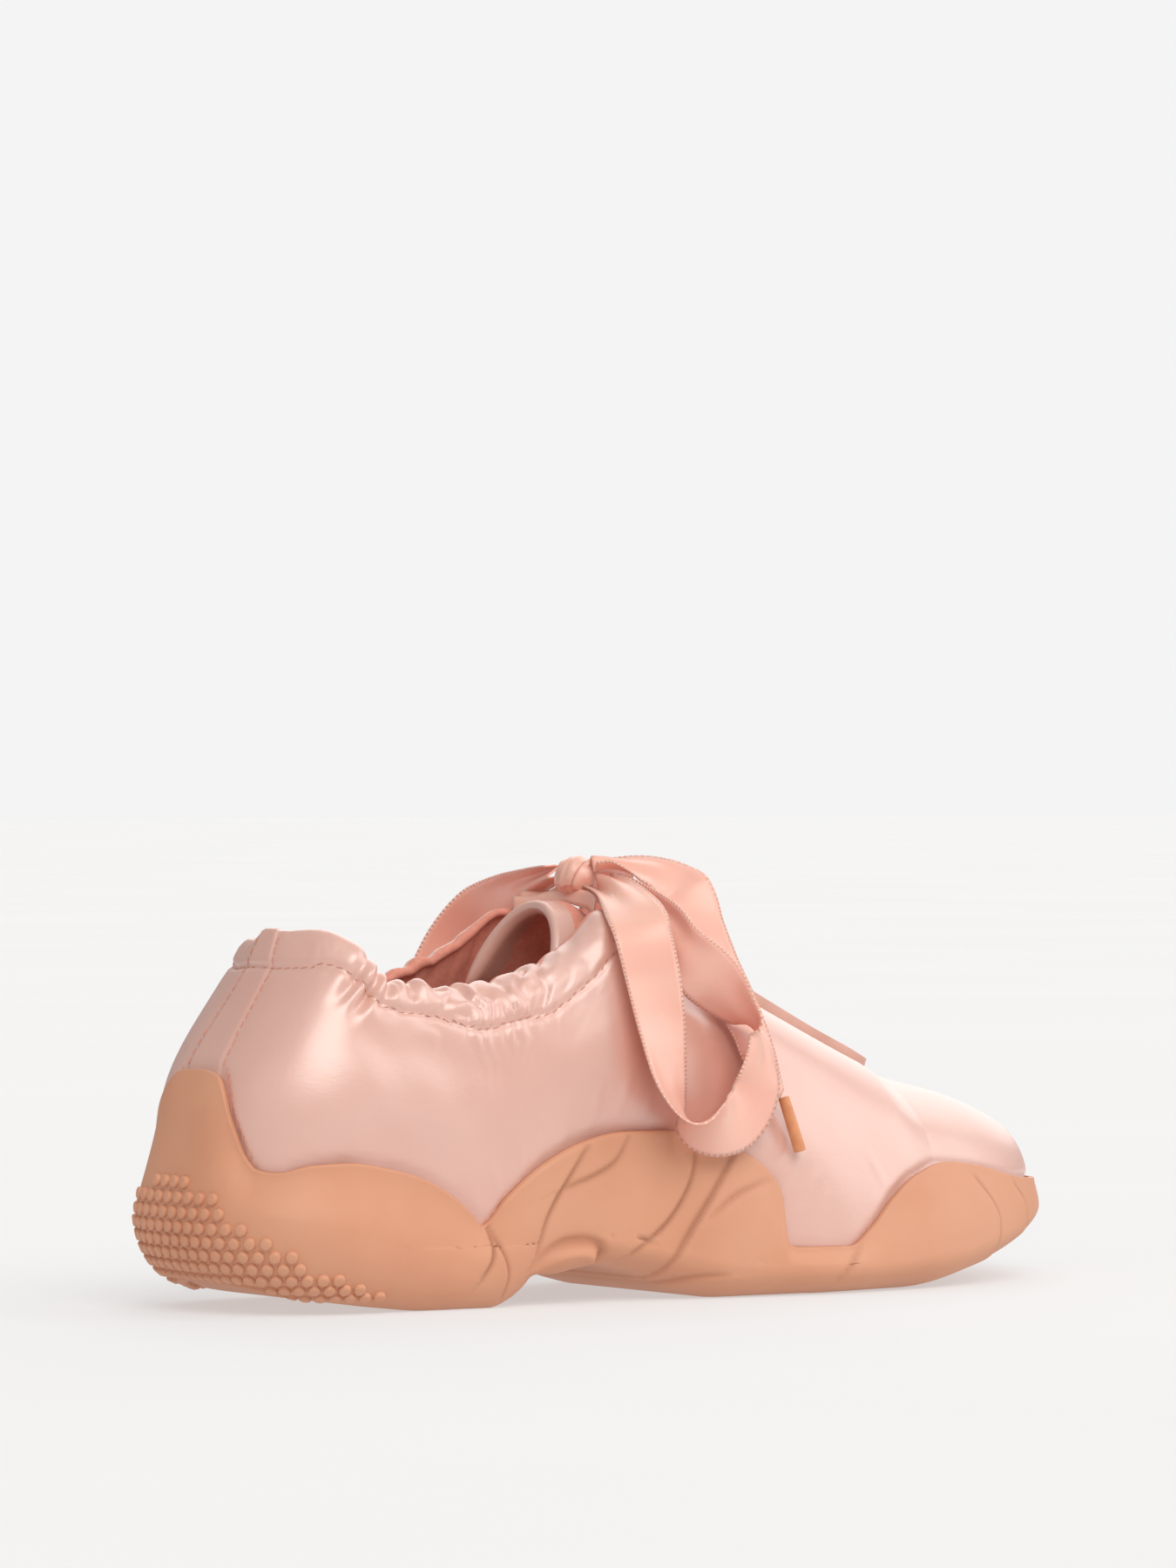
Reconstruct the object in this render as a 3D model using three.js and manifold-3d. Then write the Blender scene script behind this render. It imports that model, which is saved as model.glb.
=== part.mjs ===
import * as THREE from "three";
import { mergeVertices } from "three/addons/utils/BufferGeometryUtils.js";
import Module from "manifold-3d";

// Low satin sneaker for the right foot, in millimetres: X runs to the toe, Y to the inner side, Z up.
// All tables are written from the back of the last; the finished shoe is moved to the middle of its plan.
const wasm = await Module();
wasm.setup();

const planCentre = { x: 122.8, y: -0.4 };
const fitGap = 0.3;
const wall = 2.0;
const casing = { depth: 9.0, swell: 0.9, fadeFrom: 98, fadeTo: 107 };
const last = { heel: 1.0, toe: 248.5, heelRound: 31, toeRound: 66, heelPower: 2.6, toePower: 2.35 };
const tread = { heel: 5.0, toe: 238.0 };
const rubberEdge = 1.6;
const insoleThick = 3.5;
const insoleInset = 0.6;
const tongueThick = 3.4;
const tab = { thick: 2.4, rear: 125, front: 199, half: 12.5, nose: 8.5 };
const nub = { bottom: 1.85, top: 1.15, height: 1.3, sunk: 1.2, pitch: 4.6, sides: 5 };
const ribbonThick = 0.6;
const aglet = { radius: 1.5, sides: 8 };
const knot = { x: 111.6, y: 0, z: 102.5, long: 6, wide: 5.2, tall: 4.6 };
const upperStations = 46;
const soleStations = 70;

function table(columns, rows) {
  const names = columns.split(" ");
  return rows.map((row) => Object.fromEntries(names.map((name, i) => [name, row[i]])));
}

// Half widths of the last at the sole's edge, before the heel and the toe are rounded
const plan = table("x lateral medial", [
  [0, 32, 32],
  [40, 32, 31],
  [75, 33, 28],
  [105, 36, 27],
  [140, 41, 33.5],
  [165, 43.5, 40],
  [190, 43, 43],
  [215, 40.5, 43],
  [250, 36, 40],
]);

// Sideways run of the last's middle line
const spine = table("x y", [
  [0, 0],
  [150, 0],
  [190, 0.5],
  [225, 2.5],
  [250, 5],
]);

// Height of the line where the satin meets the footbed
const featherLine = table("x z", [
  [0, 17],
  [30, 16],
  [65, 15],
  [95, 16.5],
  [120, 12.5],
  [145, 8],
  [175, 7.4],
  [205, 9.5],
  [230, 14],
  [250, 18.5],
]);

// Top line: collar, throat and toe ridge, with the lean of the wall towards it and half the opening
const topLine = table("x z lean half", [
  [1, 89.5, 22, 2],
  [8, 90, 19.5, 13],
  [16, 87, 16, 19],
  [26, 80, 10.5, 22.5],
  [36, 76.5, 6, 24],
  [48, 76, 3, 24.3],
  [62, 76.5, 1, 24],
  [78, 79.5, 0, 23.5],
  [92, 86, 0, 23],
  [104, 94, 0, 21],
  [112, 92.5, 0, 15],
  [124, 86, 0, 11],
  [150, 73.5, 0, 9],
  [185, 57, 0, 7.5],
  [196, 52.5, 0, 0],
  [215, 48, 0, 0],
  [235, 43.4, -6.5, 0],
  [244, 41, -10.5, 0],
  [248.5, 39.6, -12.5, 0],
]);

// Fullness of the wall's section: powers across and up, and the pillow of the sides
const fullness = table("x across up lateral medial", [
  [0, 1, 0.9, 1.5, 1.5],
  [40, 0.93, 0.9, 3.5, 3.5],
  [80, 0.88, 0.9, 5, 4],
  [120, 0.87, 0.9, 3, 2],
  [160, 0.95, 0.92, 0.8, 0.5],
  [215, 0.88, 0.85, 0.3, 0.2],
  [250, 0.8, 0.72, 0, 0],
]);

// Top edge of the rubber: heel, middle and toe lobes with the two dips between them
const heelLobe = [
  [1, 56.5],
  [1.45, 55.5],
  [2.15, 51.8],
  [3.2, 43.8],
  [4.4, 37.1],
  [5.8, 34.1],
  [8.6, 33.4],
  [15.3, 35.1],
  [24, 35.5],
  [35, 33.8],
  [45, 31],
  [53, 26.6],
  [58, 22.5],
  [61, 19.6],
];
const rubberTop = {
  lateral: table("x z", [
    ...heelLobe,
    [67.5, 26.1],
    [76.7, 33.4],
    [87.7, 38.7],
    [98.9, 40.9],
    [108.8, 41],
    [121.6, 39.3],
    [129.7, 36.9],
    [136.2, 33.2],
    [141.1, 28.8],
    [143.4, 24.5],
    [144.4, 16],
    [145.4, 12.6],
    [148, 11.6],
    [163, 11.4],
    [169, 15.3],
    [177, 22.7],
    [185, 27.7],
    [195.7, 30.3],
    [208.7, 28.9],
    [220.6, 26.4],
    [230, 25],
    [248.5, 24],
  ]),
  medial: table("x z", [
    ...heelLobe,
    [68, 26.6],
    [80, 35],
    [95, 42],
    [108, 43.4],
    [124, 42],
    [142, 34.4],
    [151, 27],
    [156, 20],
    [158, 13],
    [161, 11.2],
    [175, 11],
    [180, 14],
    [190, 23],
    [206, 30.3],
    [220, 29],
    [234, 26],
    [248.5, 24],
  ]),
};

// Rubber: thickness and height of its widest line, and how far the tread's edge lies inside that line
const rubber = table("x thick inset widest", [
  [0, 6.2, 12, 24],
  [10, 5.8, 12, 23],
  [25, 5.2, 11, 19],
  [45, 5, 9, 14],
  [62, 4.5, 8, 11],
  [70, 3.5, 8, 13],
  [85, 3, 8, 17],
  [110, 3.2, 10, 13],
  [140, 3.4, 12, 8],
  [165, 3.2, 12, 7],
  [190, 3.2, 13, 9],
  [220, 2.8, 14, 13.5],
  [238, 2.5, 14, 17.5],
  [248.5, 2.4, 14, 18.5],
]);

// Underside: heel bevel, heel rest, arch, forefoot rest and toe spring
const treadLine = table("x z", [
  [-6, 14],
  [6, 7.5],
  [20, 3.4],
  [36, 1],
  [48, 0],
  [67, 0],
  [72, 2],
  [79, 7.5],
  [89, 10],
  [104, 7.5],
  [118, 2.5],
  [130, 0],
  [184, 0],
  [202, 2.8],
  [218, 7],
  [234, 11.5],
  [252, 16.5],
]);

// Creases moulded into the rubber's side, each by its width, its depth and its run; the main ones are on both sides
const creases = [
  { width: 2.4, depth: 1.3, main: true, run: [[61.6, 18.6], [64.8, 13.8], [66.9, 8.2], [66.6, 3.6]] },
  { width: 1.6, depth: 0.8, main: true, run: [[88.5, 36.5], [81.3, 27.5], [77.6, 20.9], [75.3, 14.7]] },
  { width: 1.3, depth: 0.6, main: false, run: [[99.8, 38.5], [96.5, 34.6], [83, 28.6]] },
  { width: 1.8, depth: 0.9, main: true, run: [[118.9, 37], [117.6, 30.7], [114.1, 24], [103.1, 13]] },
  { width: 1.8, depth: 0.9, main: true, run: [[129.3, 33.8], [123.6, 25.8], [111.5, 7.5]] },
  { width: 1.4, depth: 0.7, main: false, run: [[137.8, 27.9], [129.7, 25.1], [123.4, 20.8]] },
  { width: 1.6, depth: 0.7, main: true, run: [[207.4, 25.4], [211.6, 20.5], [213.5, 15.5]] },
];
const archLip = { width: 4.4, proud: 2.6, run: [[73.7, 8.5], [78.5, 11], [84, 12.6], [92.5, 12]] };

// Rows of nubs round the heel: height of a row and how far it reaches from the centre of the back
const nubRows = table("z reach", [
  [29.5, 8],
  [25.6, 13],
  [21.7, 19],
  [17.9, 25],
  [14.2, 31],
  [10.8, 37],
]);

// Tongue: height of its crown, its half width and its drop at the sides
const tongueLine = table("x z half drop", [
  [101, 96.2, 18.5, 22],
  [106, 96.2, 19, 22],
  [113, 92.2, 19.5, 21],
  [125, 82.5, 20, 19],
  [150, 69.6, 18, 15],
  [178, 56.2, 14, 9],
  [190, 51, 9, 5],
]);

// Runs of the ribbon: middle of the band, direction across it and its width
const bands = {
  bridge: table("x y z ax ay az width", [
    [107, -18.6, 95.4, 0.95, 0.1, 0.3, 6],
    [109.5, -13, 96.8, 0.95, 0.1, 0.3, 7],
    [111.5, -6.5, 97.2, 1, 0, 0.2, 8],
    [112.5, 0, 97.3, 1, 0, 0, 8],
    [111.5, 6.5, 97.2, 1, 0, 0.2, 8],
    [109.5, 13, 95.7, 0.95, -0.1, 0.3, 7],
    [107, 18.6, 95.4, 0.95, -0.1, 0.3, 6],
  ]),
  loop_lateral: table("x y z ax ay az width", [
    [114, -6.6, 101, 0.7, 0.27, 0.66, 7],
    [109.8, -21.1, 98.8, 0.94, 0.01, 0.33, 11.5],
    [106.9, -32, 93.9, 0.96, -0.13, 0.23, 15],
    [105.6, -37.5, 87.7, 0.98, -0.13, 0.17, 15],
    [106.7, -39.9, 77.1, 0.99, -0.08, 0.1, 15],
    [107.2, -42.4, 65.6, 0.99, 0.11, 0.05, 15],
    [107.4, -45.1, 55.2, 0.95, 0.3, -0.06, 14.5],
    [108.4, -47.2, 48.8, 0.86, 0.45, -0.24, 14.5],
    [111.2, -48.6, 44.2, 0.78, 0.5, -0.37, 14.5],
    [116.6, -48.6, 42.3, 0.73, 0.42, -0.54, 15],
    [122.9, -47.8, 42.2, 0.72, 0.3, -0.62, 15],
    [129.7, -45.9, 44.7, 0.74, 0.12, -0.67, 15],
    [133.4, -45.3, 49.5, 0.81, 0.1, -0.57, 15],
    [135, -45.5, 55.2, 0.87, 0.27, -0.42, 14.8],
    [135.8, -44.6, 60.6, 0.85, 0.47, -0.24, 13.2],
    [135.6, -43.1, 65.1, 0.68, 0.67, -0.28, 12.1],
    [132.2, -42.1, 68.9, 0.31, 0.7, -0.65, 13.2],
    [127.5, -39.7, 74.6, -0.07, 0.58, -0.82, 14.5],
    [122.3, -38.2, 79.7, -0.34, 0.4, -0.85, 14.6],
    [117.6, -36, 85.1, -0.37, 0.5, -0.75, 13],
    [117.2, -29.6, 90.9, -0.54, 0.55, -0.5, 11],
    [117.3, -17, 96.4, -0.61, 0.6, -0.3, 9],
    [117, -8.6, 99.4, -0.54, 0.71, -0.45, 6],
  ]),
  end_lateral: table("x y z ax ay az width", [
    [112.8, -5.6, 105, 0.43, 0.81, 0.4, 6],
    [117.2, -6.9, 105.6, 0.59, 0.78, 0.19, 9.5],
    [123.2, -10.2, 104.4, 0.56, 0.7, 0.45, 12],
    [126.7, -13.9, 102.9, 0.6, 0.58, 0.55, 13.5],
    [129.8, -16.8, 100.2, 0.58, 0.38, 0.71, 14.5],
    [130.7, -20.7, 97, 0.62, 0.3, 0.72, 14.5],
    [130.8, -25.3, 90.3, 0.73, 0.26, 0.63, 14.3],
    [132.6, -29.9, 81.5, 0.83, 0.22, 0.51, 13.5],
    [136.1, -32.9, 72, 0.92, 0.12, 0.37, 12.6],
    [138.7, -35.5, 64.4, 0.98, 0.12, 0.12, 11.9],
    [140.4, -38.4, 56.3, 1, 0.07, -0.06, 10.7],
    [142.4, -41.1, 51.2, 0.95, 0.32, -0.02, 7],
    [144, -41.4, 49.2, 0.96, 0.28, 0.03, 3],
  ]),
  loop_medial: table("x y z ax ay az width", [
    [110.4, 7.4, 102.9, 0.3, 0.3, -0.9, 5],
    [111.2, 17.5, 100.3, 0.16, 0.18, -0.95, 7.6],
    [111.4, 28, 97.1, 0.36, 0.05, -0.93, 12],
    [110.4, 37, 93.2, 0.49, -0.05, -0.87, 15],
    [109.1, 41.8, 90.2, 0.68, -0.18, -0.71, 15],
    [107.2, 45.2, 86, 0.78, -0.25, -0.57, 15],
    [105, 47, 81.2, 0.84, -0.29, -0.46, 15],
    [102.5, 47.8, 74.9, 0.86, -0.31, -0.4, 15],
    [100.8, 47.8, 66, 0.9, -0.3, -0.3, 15],
    [100.5, 47.4, 58, 0.92, -0.2, -0.3, 15],
    [103, 46.2, 51, 0.85, -0.05, -0.5, 15],
    [108.5, 44.2, 47.5, 0.75, 0.05, -0.65, 15],
    [114.5, 42, 49.5, 0.8, 0.05, -0.6, 15],
    [118.5, 40, 56, 0.88, 0, -0.45, 15],
    [120, 37.8, 64, 0.9, -0.1, -0.42, 14.5],
    [119.5, 34.5, 73, 0.85, -0.25, -0.45, 14],
    [117, 31.5, 79.5, 0.8, -0.27, -0.55, 13],
    [116.6, 28.2, 85, 0.55, -0.27, -0.78, 10.5],
    [116.6, 25.4, 89.4, 0.25, -0.2, -0.95, 8.5],
    [116, 21.2, 93, 0.1, -0.1, -0.95, 7],
    [115.6, 15.5, 96.4, 0.2, 0.05, -0.9, 5],
    [115.8, 8.2, 99.6, 0.3, 0.2, -0.9, 4],
  ]),
  end_medial: table("x y z ax ay az width", [
    [120.6, 3.6, 104.6, 0.75, -0.6, 0.1, 8],
    [130, 12, 102.6, 0.75, -0.6, 0.1, 12],
    [136, 22, 96, 0.88, -0.3, 0.1, 13],
    [139, 31, 83, 0.95, -0.05, 0, 13],
    [140.5, 36, 70, 0.97, 0.1, -0.1, 12],
    [141.5, 39, 57, 0.98, 0, -0.1, 8],
    [142.4, 40.2, 51.5, 0.98, 0, -0.1, 3],
  ]),
};
const agletRuns = {
  aglet_lateral: [[144.3, -41.8, 48.5], [147.6, -44.2, 35.3]],
  aglet_medial: [[142.6, 40.5, 50.7], [145.4, 42.5, 37.2]],
};

function smooth(from, to, x) {
  const t = Math.min(Math.max((x - from) / (to - from), 0), 1);
  return t * t * (3 - 2 * t);
}

// Monotone curve through a table's column
function along(rows, column, x) {
  const end = rows.length - 1;
  const at = Math.min(Math.max(x, rows[0].x), rows[end].x);
  const span = (k) => rows[k + 1].x - rows[k].x;
  const slope = (k) => (rows[k + 1][column] - rows[k][column]) / span(k);
  const tangent = (k) => {
    if (k === 0) {
      return slope(0);
    }
    if (k === end) {
      return slope(end - 1);
    }
    if (slope(k - 1) * slope(k) <= 0) {
      return 0;
    }
    const before = 2 * span(k) + span(k - 1);
    const after = span(k) + 2 * span(k - 1);
    return (before + after) / (before / slope(k - 1) + after / slope(k));
  };
  let i = 0;
  while (i < end - 1 && at > rows[i + 1].x) {
    i += 1;
  }
  const t = (at - rows[i].x) / span(i);
  const rise = span(i) * (t * (1 - t) ** 2 * tangent(i) + t * t * (t - 1) * tangent(i + 1));
  return (1 + 2 * t) * (1 - t) ** 2 * rows[i][column] + t * t * (3 - 2 * t) * rows[i + 1][column] + rise;
}

const signOf = { lateral: -1, medial: 1 };
const sides = ["lateral", "medial"];

function sweepX(from, to, u) {
  return from + ((to - from) * (1 - Math.cos(Math.PI * u))) / 2;
}

function stationOf(x) {
  const share = Math.min(Math.max((x - last.heel) / (last.toe - last.heel), 0), 1);
  return Math.acos(1 - 2 * share) / Math.PI;
}

function rounding(x) {
  const h = Math.min(Math.max((last.heel + last.heelRound - x) / last.heelRound, 0), 1);
  const t = Math.min(Math.max((x - last.toe + last.toeRound) / last.toeRound, 0), 1);
  const heel = Math.max(0, 1 - h ** last.heelPower) ** (1 / last.heelPower);
  return heel * Math.max(0, 1 - t ** last.toePower) ** (1 / last.toePower);
}

function openHalf(x) {
  const half = along(topLine, "half", x);
  return half < 0.6 ? 0 : half;
}

// Outer face of the last: u from the back of the heel to the tip of the toe, phi from the footbed to the top line
function lastPoint(side, u, phi) {
  const x = sweepX(last.heel, last.toe, u);
  const full = along(plan, side, x) * rounding(x);
  const half = Math.min(openHalf(x), full);
  const bottom = along(featherLine, "z", x);
  const top = along(topLine, "z", x);
  const across = Math.max(0, Math.cos(phi)) ** along(fullness, "across", x);
  const up = Math.sin(phi) ** along(fullness, "up", x);
  const pillow = along(fullness, side, x) * Math.sin(2 * phi) * Math.min(1, full / 25);
  const share = x < 125 ? smooth(0.4, 1.06, up) / smooth(0.4, 1.06, 1) : 1 - Math.cos(phi);
  const y = along(spine, "y", x) + signOf[side] * (half + (full - half) * across + pillow);
  return new THREE.Vector3(x + along(topLine, "lean", x) * share, y, bottom + (top - bottom) * up);
}

function sideNormal(side, u, phi) {
  const step = 1e-4;
  const us = Math.min(Math.max(u, 3e-3), 1 - 3e-3);
  const ps = Math.min(Math.max(phi, 0.03), Math.PI / 2 - 0.03);
  const du = lastPoint(side, us + step, ps).sub(lastPoint(side, us - step, ps));
  const dp = lastPoint(side, us, ps + step).sub(lastPoint(side, us, ps - step));
  return du.cross(dp).multiplyScalar(-signOf[side]).normalize();
}

// Where both sides meet, at the back, the tip and the ridge, they share one upright normal
function lastNormal(side, u, phi) {
  const x = sweepX(last.heel, last.toe, u);
  const onMiddle = u <= 0 || u >= 1 || (phi > Math.PI / 2 - 1e-6 && openHalf(x) === 0);
  if (!onMiddle) {
    return sideNormal(side, u, phi);
  }
  const shared = sideNormal("lateral", u, phi).add(sideNormal("medial", u, phi));
  return shared.setY(0).normalize();
}

function skin(side, u, phi, out) {
  return lastPoint(side, u, phi).addScaledVector(lastNormal(side, u, phi), out);
}

function phiAt(u, z) {
  const x = sweepX(last.heel, last.toe, u);
  const bottom = along(featherLine, "z", x);
  const top = along(topLine, "z", x);
  const share = Math.min(Math.max((z - bottom) / (top - bottom), 0), 1);
  return Math.asin(share ** (1 / along(fullness, "up", x)));
}

// Rows of the upper's wall at a station; the last three carry the casing round the collar
function wallRows(u) {
  const x = sweepX(last.heel, last.toe, u);
  const under = phiAt(u, along(topLine, "z", x) - casing.depth);
  const lower = [0, 0.18, 0.4, 0.62, 0.82, 1].map((share) => share * under);
  return [...lower, under + 0.04, (under + 0.04 + Math.PI / 2) / 2, Math.PI / 2];
}

function casingSwell(u, row) {
  const x = sweepX(last.heel, last.toe, u);
  return row > 5 ? casing.swell * (1 - smooth(casing.fadeFrom, casing.fadeTo, x)) : 0;
}

// A closed solid from faces given by their corners in order
function solidOf(faces) {
  const corners = [];
  for (const face of faces) {
    for (let k = 1; k < face.length - 1; k += 1) {
      corners.push(face[0], face[k], face[k + 1]);
    }
  }
  const geometry = new THREE.BufferGeometry().setFromPoints(corners);
  return manifoldOf(geometry);
}

function manifoldOf(geometry) {
  const bare = new THREE.BufferGeometry();
  bare.setAttribute("position", geometry.getAttribute("position"));
  if (geometry.index) {
    bare.setIndex(geometry.index);
  }
  const merged = mergeVertices(bare, 1e-3);
  const index = merged.index.array;
  const kept = [];
  for (let i = 0; i < index.length; i += 3) {
    const [a, b, c] = [index[i], index[i + 1], index[i + 2]];
    if (a !== b && b !== c && c !== a) {
      kept.push(a, b, c);
    }
  }
  const mesh = new wasm.Mesh({
    numProp: 3,
    vertProperties: new Float32Array(merged.getAttribute("position").array),
    triVerts: new Uint32Array(kept),
  });
  return new wasm.Manifold(mesh);
}

function geometryOf(solid) {
  const mesh = solid.getMesh();
  const geometry = new THREE.BufferGeometry();
  const points = new Float32Array(mesh.numVert * 3);
  for (let i = 0; i < mesh.numVert; i += 1) {
    for (let k = 0; k < 3; k += 1) {
      points[i * 3 + k] = mesh.vertProperties[i * mesh.numProp + k];
    }
  }
  geometry.setAttribute("position", new THREE.BufferAttribute(points, 3));
  geometry.setIndex(new THREE.BufferAttribute(new Uint32Array(mesh.triVerts), 1));
  geometry.computeVertexNormals();
  return geometry;
}

// Quads of a grid of points, turned round where asked
function gridFaces(rows, turned) {
  const faces = [];
  for (let i = 0; i < rows.length - 1; i += 1) {
    for (let j = 0; j < rows[i].length - 1; j += 1) {
      const face = [rows[i][j], rows[i + 1][j], rows[i + 1][j + 1], rows[i][j + 1]];
      faces.push(turned ? face.reverse() : face);
    }
  }
  return faces;
}

const upperUs = Array.from({ length: upperStations + 1 }, (_, i) => i / upperStations);

function wallGrid(side, outBy) {
  return upperUs.map((u) => wallRows(u).map((phi, row) => skin(side, u, phi, outBy(u, row))));
}

// The last, grown or shrunk, as one filled form
function lastForm(grow) {
  const grids = sides.map((side) => wallGrid(side, () => grow));
  for (const grid of grids) {
    for (const row of grid) {
      row[0].z -= grow;
    }
  }
  const top = grids[0][0].length - 1;
  const faces = [...gridFaces(grids[0], false), ...gridFaces(grids[1], true)];
  faces.push(...gridFaces(upperUs.map((_, i) => [grids[0][i][top], grids[1][i][top]]), false));
  faces.push(...gridFaces(upperUs.map((_, i) => [grids[0][i][0], grids[1][i][0]]), true));
  return solidOf(faces);
}

// The upper: one wall, open underneath, at the collar and along the throat
function upperSolid() {
  const faces = [];
  for (const side of sides) {
    const turned = side === "medial";
    const outer = wallGrid(side, casingSwell);
    const inner = wallGrid(side, () => -wall);
    const top = outer[0].length - 1;
    faces.push(...gridFaces(outer, turned), ...gridFaces(inner, !turned));
    faces.push(...gridFaces(upperUs.map((_, i) => [outer[i][0], inner[i][0]]), !turned));
    const throat = upperUs.filter((u) => openHalf(sweepX(last.heel, last.toe, u)) > 0).length;
    const rim = upperUs.slice(0, throat + 1).map((_, i) => [outer[i][top], inner[i][top]]);
    faces.push(...gridFaces(rim, turned));
  }
  return solidOf(faces);
}

// Outer face of the rubber: v is 0 at its top edge, 1 at its widest line and 2 at the tread's edge
function rubberPoint(side, u, v) {
  const x = sweepX(last.heel, last.toe, u);
  const bottom = along(featherLine, "z", x);
  const top = along(rubberTop[side], "z", x);
  const widest = along(rubber, "widest", x);
  const thick = along(rubber, "thick", x);
  const a = Math.min(v, 1);
  const z = top + (widest - top) * a;
  const out = rubberEdge + (thick - rubberEdge) * smooth(0, 1, a);
  const point = skin(side, u, phiAt(u, Math.max(z, bottom)), out);
  if (z < bottom) {
    point.z = z;
  }
  if (v <= 1) {
    return point;
  }
  const edgeX = sweepX(tread.heel, tread.toe, u);
  const half = (along(plan, side, x) + thick - along(rubber, "inset", x)) * rounding(x);
  const edge = new THREE.Vector3(edgeX, along(spine, "y", x) + signOf[side] * half, along(treadLine, "z", edgeX));
  const turn = ((2 - v) * Math.PI) / 2;
  const level = edge.z + (point.z - edge.z) * (1 - Math.cos(turn));
  const out2 = edge.clone().lerp(point, Math.sin(turn));
  out2.z = level;
  return out2;
}

function rubberNormal(side, u, v) {
  const step = 2e-3;
  const us = Math.min(Math.max(u, 4e-3), 1 - 4e-3);
  const vs = Math.min(Math.max(v, 0.01), 1.99);
  const du = rubberPoint(side, us + step, vs).sub(rubberPoint(side, us - step, vs));
  const dv = rubberPoint(side, us, vs + step).sub(rubberPoint(side, us, vs - step));
  return du.cross(dv).multiplyScalar(signOf[side]).normalize();
}

// Place on the rubber's face at a station and a height
function rubberAt(side, u, z) {
  let low = 0;
  let high = 2;
  for (let i = 0; i < 30; i += 1) {
    const mid = (low + high) / 2;
    if (rubberPoint(side, u, mid).z > z) {
      low = mid;
    } else {
      high = mid;
    }
  }
  return { point: rubberPoint(side, u, low), normal: rubberNormal(side, u, low) };
}

// A tapered bar of three-cornered section along a run on the rubber's face
function sideBar(side, run, width, above, below) {
  const curve = new THREE.CatmullRomCurve3(run.map(([x, z]) => new THREE.Vector3(x, 0, z)));
  const steps = 2 * (run.length - 1);
  const places = curve.getSpacedPoints(steps).map((p) => rubberAt(side, stationOf(p.x), p.z));
  const rings = places.map(({ point, normal }, i) => {
    const ahead = places[Math.min(i + 1, steps)].point;
    const behind = places[Math.max(i - 1, 0)].point;
    const across = ahead.clone().sub(behind).cross(normal).normalize();
    const taper = 0.25 + 0.75 * Math.sin((Math.PI * (i + 0.4)) / (steps + 0.8));
    const crest = point.clone().addScaledVector(normal, above * (above > 0 ? taper : 1));
    const base = point.clone().addScaledVector(normal, below * (below > 0 ? 1 : taper));
    const reach = across.multiplyScalar((width / 2) * taper);
    const wide = above > Math.abs(below) || below > 0 ? base : crest;
    const point3 = wide === base ? crest : base;
    return [wide.clone().add(reach), wide.clone().sub(reach), point3];
  });
  const faces = gridFaces(rings.map((ring) => [...ring, ring[0]]), false);
  faces.push(rings[0].slice(), rings[steps].slice().reverse());
  const solid = solidOf(faces);
  return solid.volume() > 0 ? solid : solidOf(faces.map((face) => face.slice().reverse()));
}

function soleBlank() {
  const us = Array.from({ length: soleStations + 1 }, (_, i) => i / soleStations);
  const levels = [0, 0.5, 1, 1.3, 1.65, 2];
  const grids = sides.map((side) => us.map((u) => levels.map((v) => rubberPoint(side, u, v))));
  const end = levels.length - 1;
  const faces = [...gridFaces(grids[0], true), ...gridFaces(grids[1], false)];
  faces.push(...gridFaces(us.map((_, i) => [grids[0][i][0], grids[1][i][0]]), false));
  faces.push(...gridFaces(us.map((_, i) => [grids[0][i][end], grids[1][i][end]]), true));
  return solidOf(faces);
}

// Nubs in rows round the heel, each standing on the rubber's own face
function heelNubs() {
  const steps = 200;
  const runs = Object.fromEntries(sides.map((side) => [side, [{ u: 0, run: 0 }]]));
  for (const side of sides) {
    for (let i = 1; i <= steps; i += 1) {
      const u = (0.32 * i) / steps;
      const before = runs[side][i - 1];
      const length = rubberPoint(side, u, 1).distanceTo(rubberPoint(side, before.u, 1));
      runs[side].push({ u, run: before.run + length });
    }
  }
  const nubs = [];
  nubRows.forEach((row, k) => {
    const shift = k % 2 === 0 ? 0.5 : 0;
    const count = Math.floor(row.reach / nub.pitch - shift);
    for (let i = -count - (shift > 0 ? 1 : 0); i <= count; i += 1) {
      const arc = (i + shift) * nub.pitch;
      const side = arc < 0 ? "lateral" : "medial";
      const place = runs[side].find((r) => r.run >= Math.abs(arc));
      const { point, normal } = rubberAt(side, place.u, row.z);
      const long = nub.height + nub.sunk;
      const geometry = new THREE.CylinderGeometry(nub.top, nub.bottom, long, nub.sides);
      geometry.translate(0, nub.height - long / 2, 0);
      geometry.applyQuaternion(new THREE.Quaternion().setFromUnitVectors(new THREE.Vector3(0, 1, 0), normal));
      geometry.translate(point.x, point.y, point.z);
      nubs.push(manifoldOf(geometry));
    }
  });
  return nubs;
}

function soleSolid() {
  let sole = soleBlank().subtract(lastForm(fitGap));
  for (const side of sides) {
    sole = sole.add(sideBar(side, archLip.run, archLip.width, archLip.proud, -1));
    for (const crease of creases.filter((each) => each.main || side === "lateral")) {
      sole = sole.subtract(sideBar(side, crease.run, crease.width, 0.5, -crease.depth));
    }
  }
  for (const each of heelNubs()) {
    sole = sole.add(each);
  }
  return sole;
}

function insoleSolid() {
  const us = upperUs;
  const edge = (side, u, lift) => {
    const normal = lastNormal(side, u, 0.04).setZ(0).normalize();
    const point = lastPoint(side, u, 0).addScaledVector(normal, -wall - insoleInset);
    point.z += lift;
    return point;
  };
  const low = us.map((u) => sides.map((side) => edge(side, u, 0)));
  const high = us.map((u) => sides.map((side) => edge(side, u, insoleThick)));
  const faces = [...gridFaces(high, false), ...gridFaces(low, true)];
  for (const k of [0, 1]) {
    faces.push(...gridFaces(us.map((_, i) => [low[i][k], high[i][k]]), k === 1));
  }
  return solidOf(faces);
}

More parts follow.
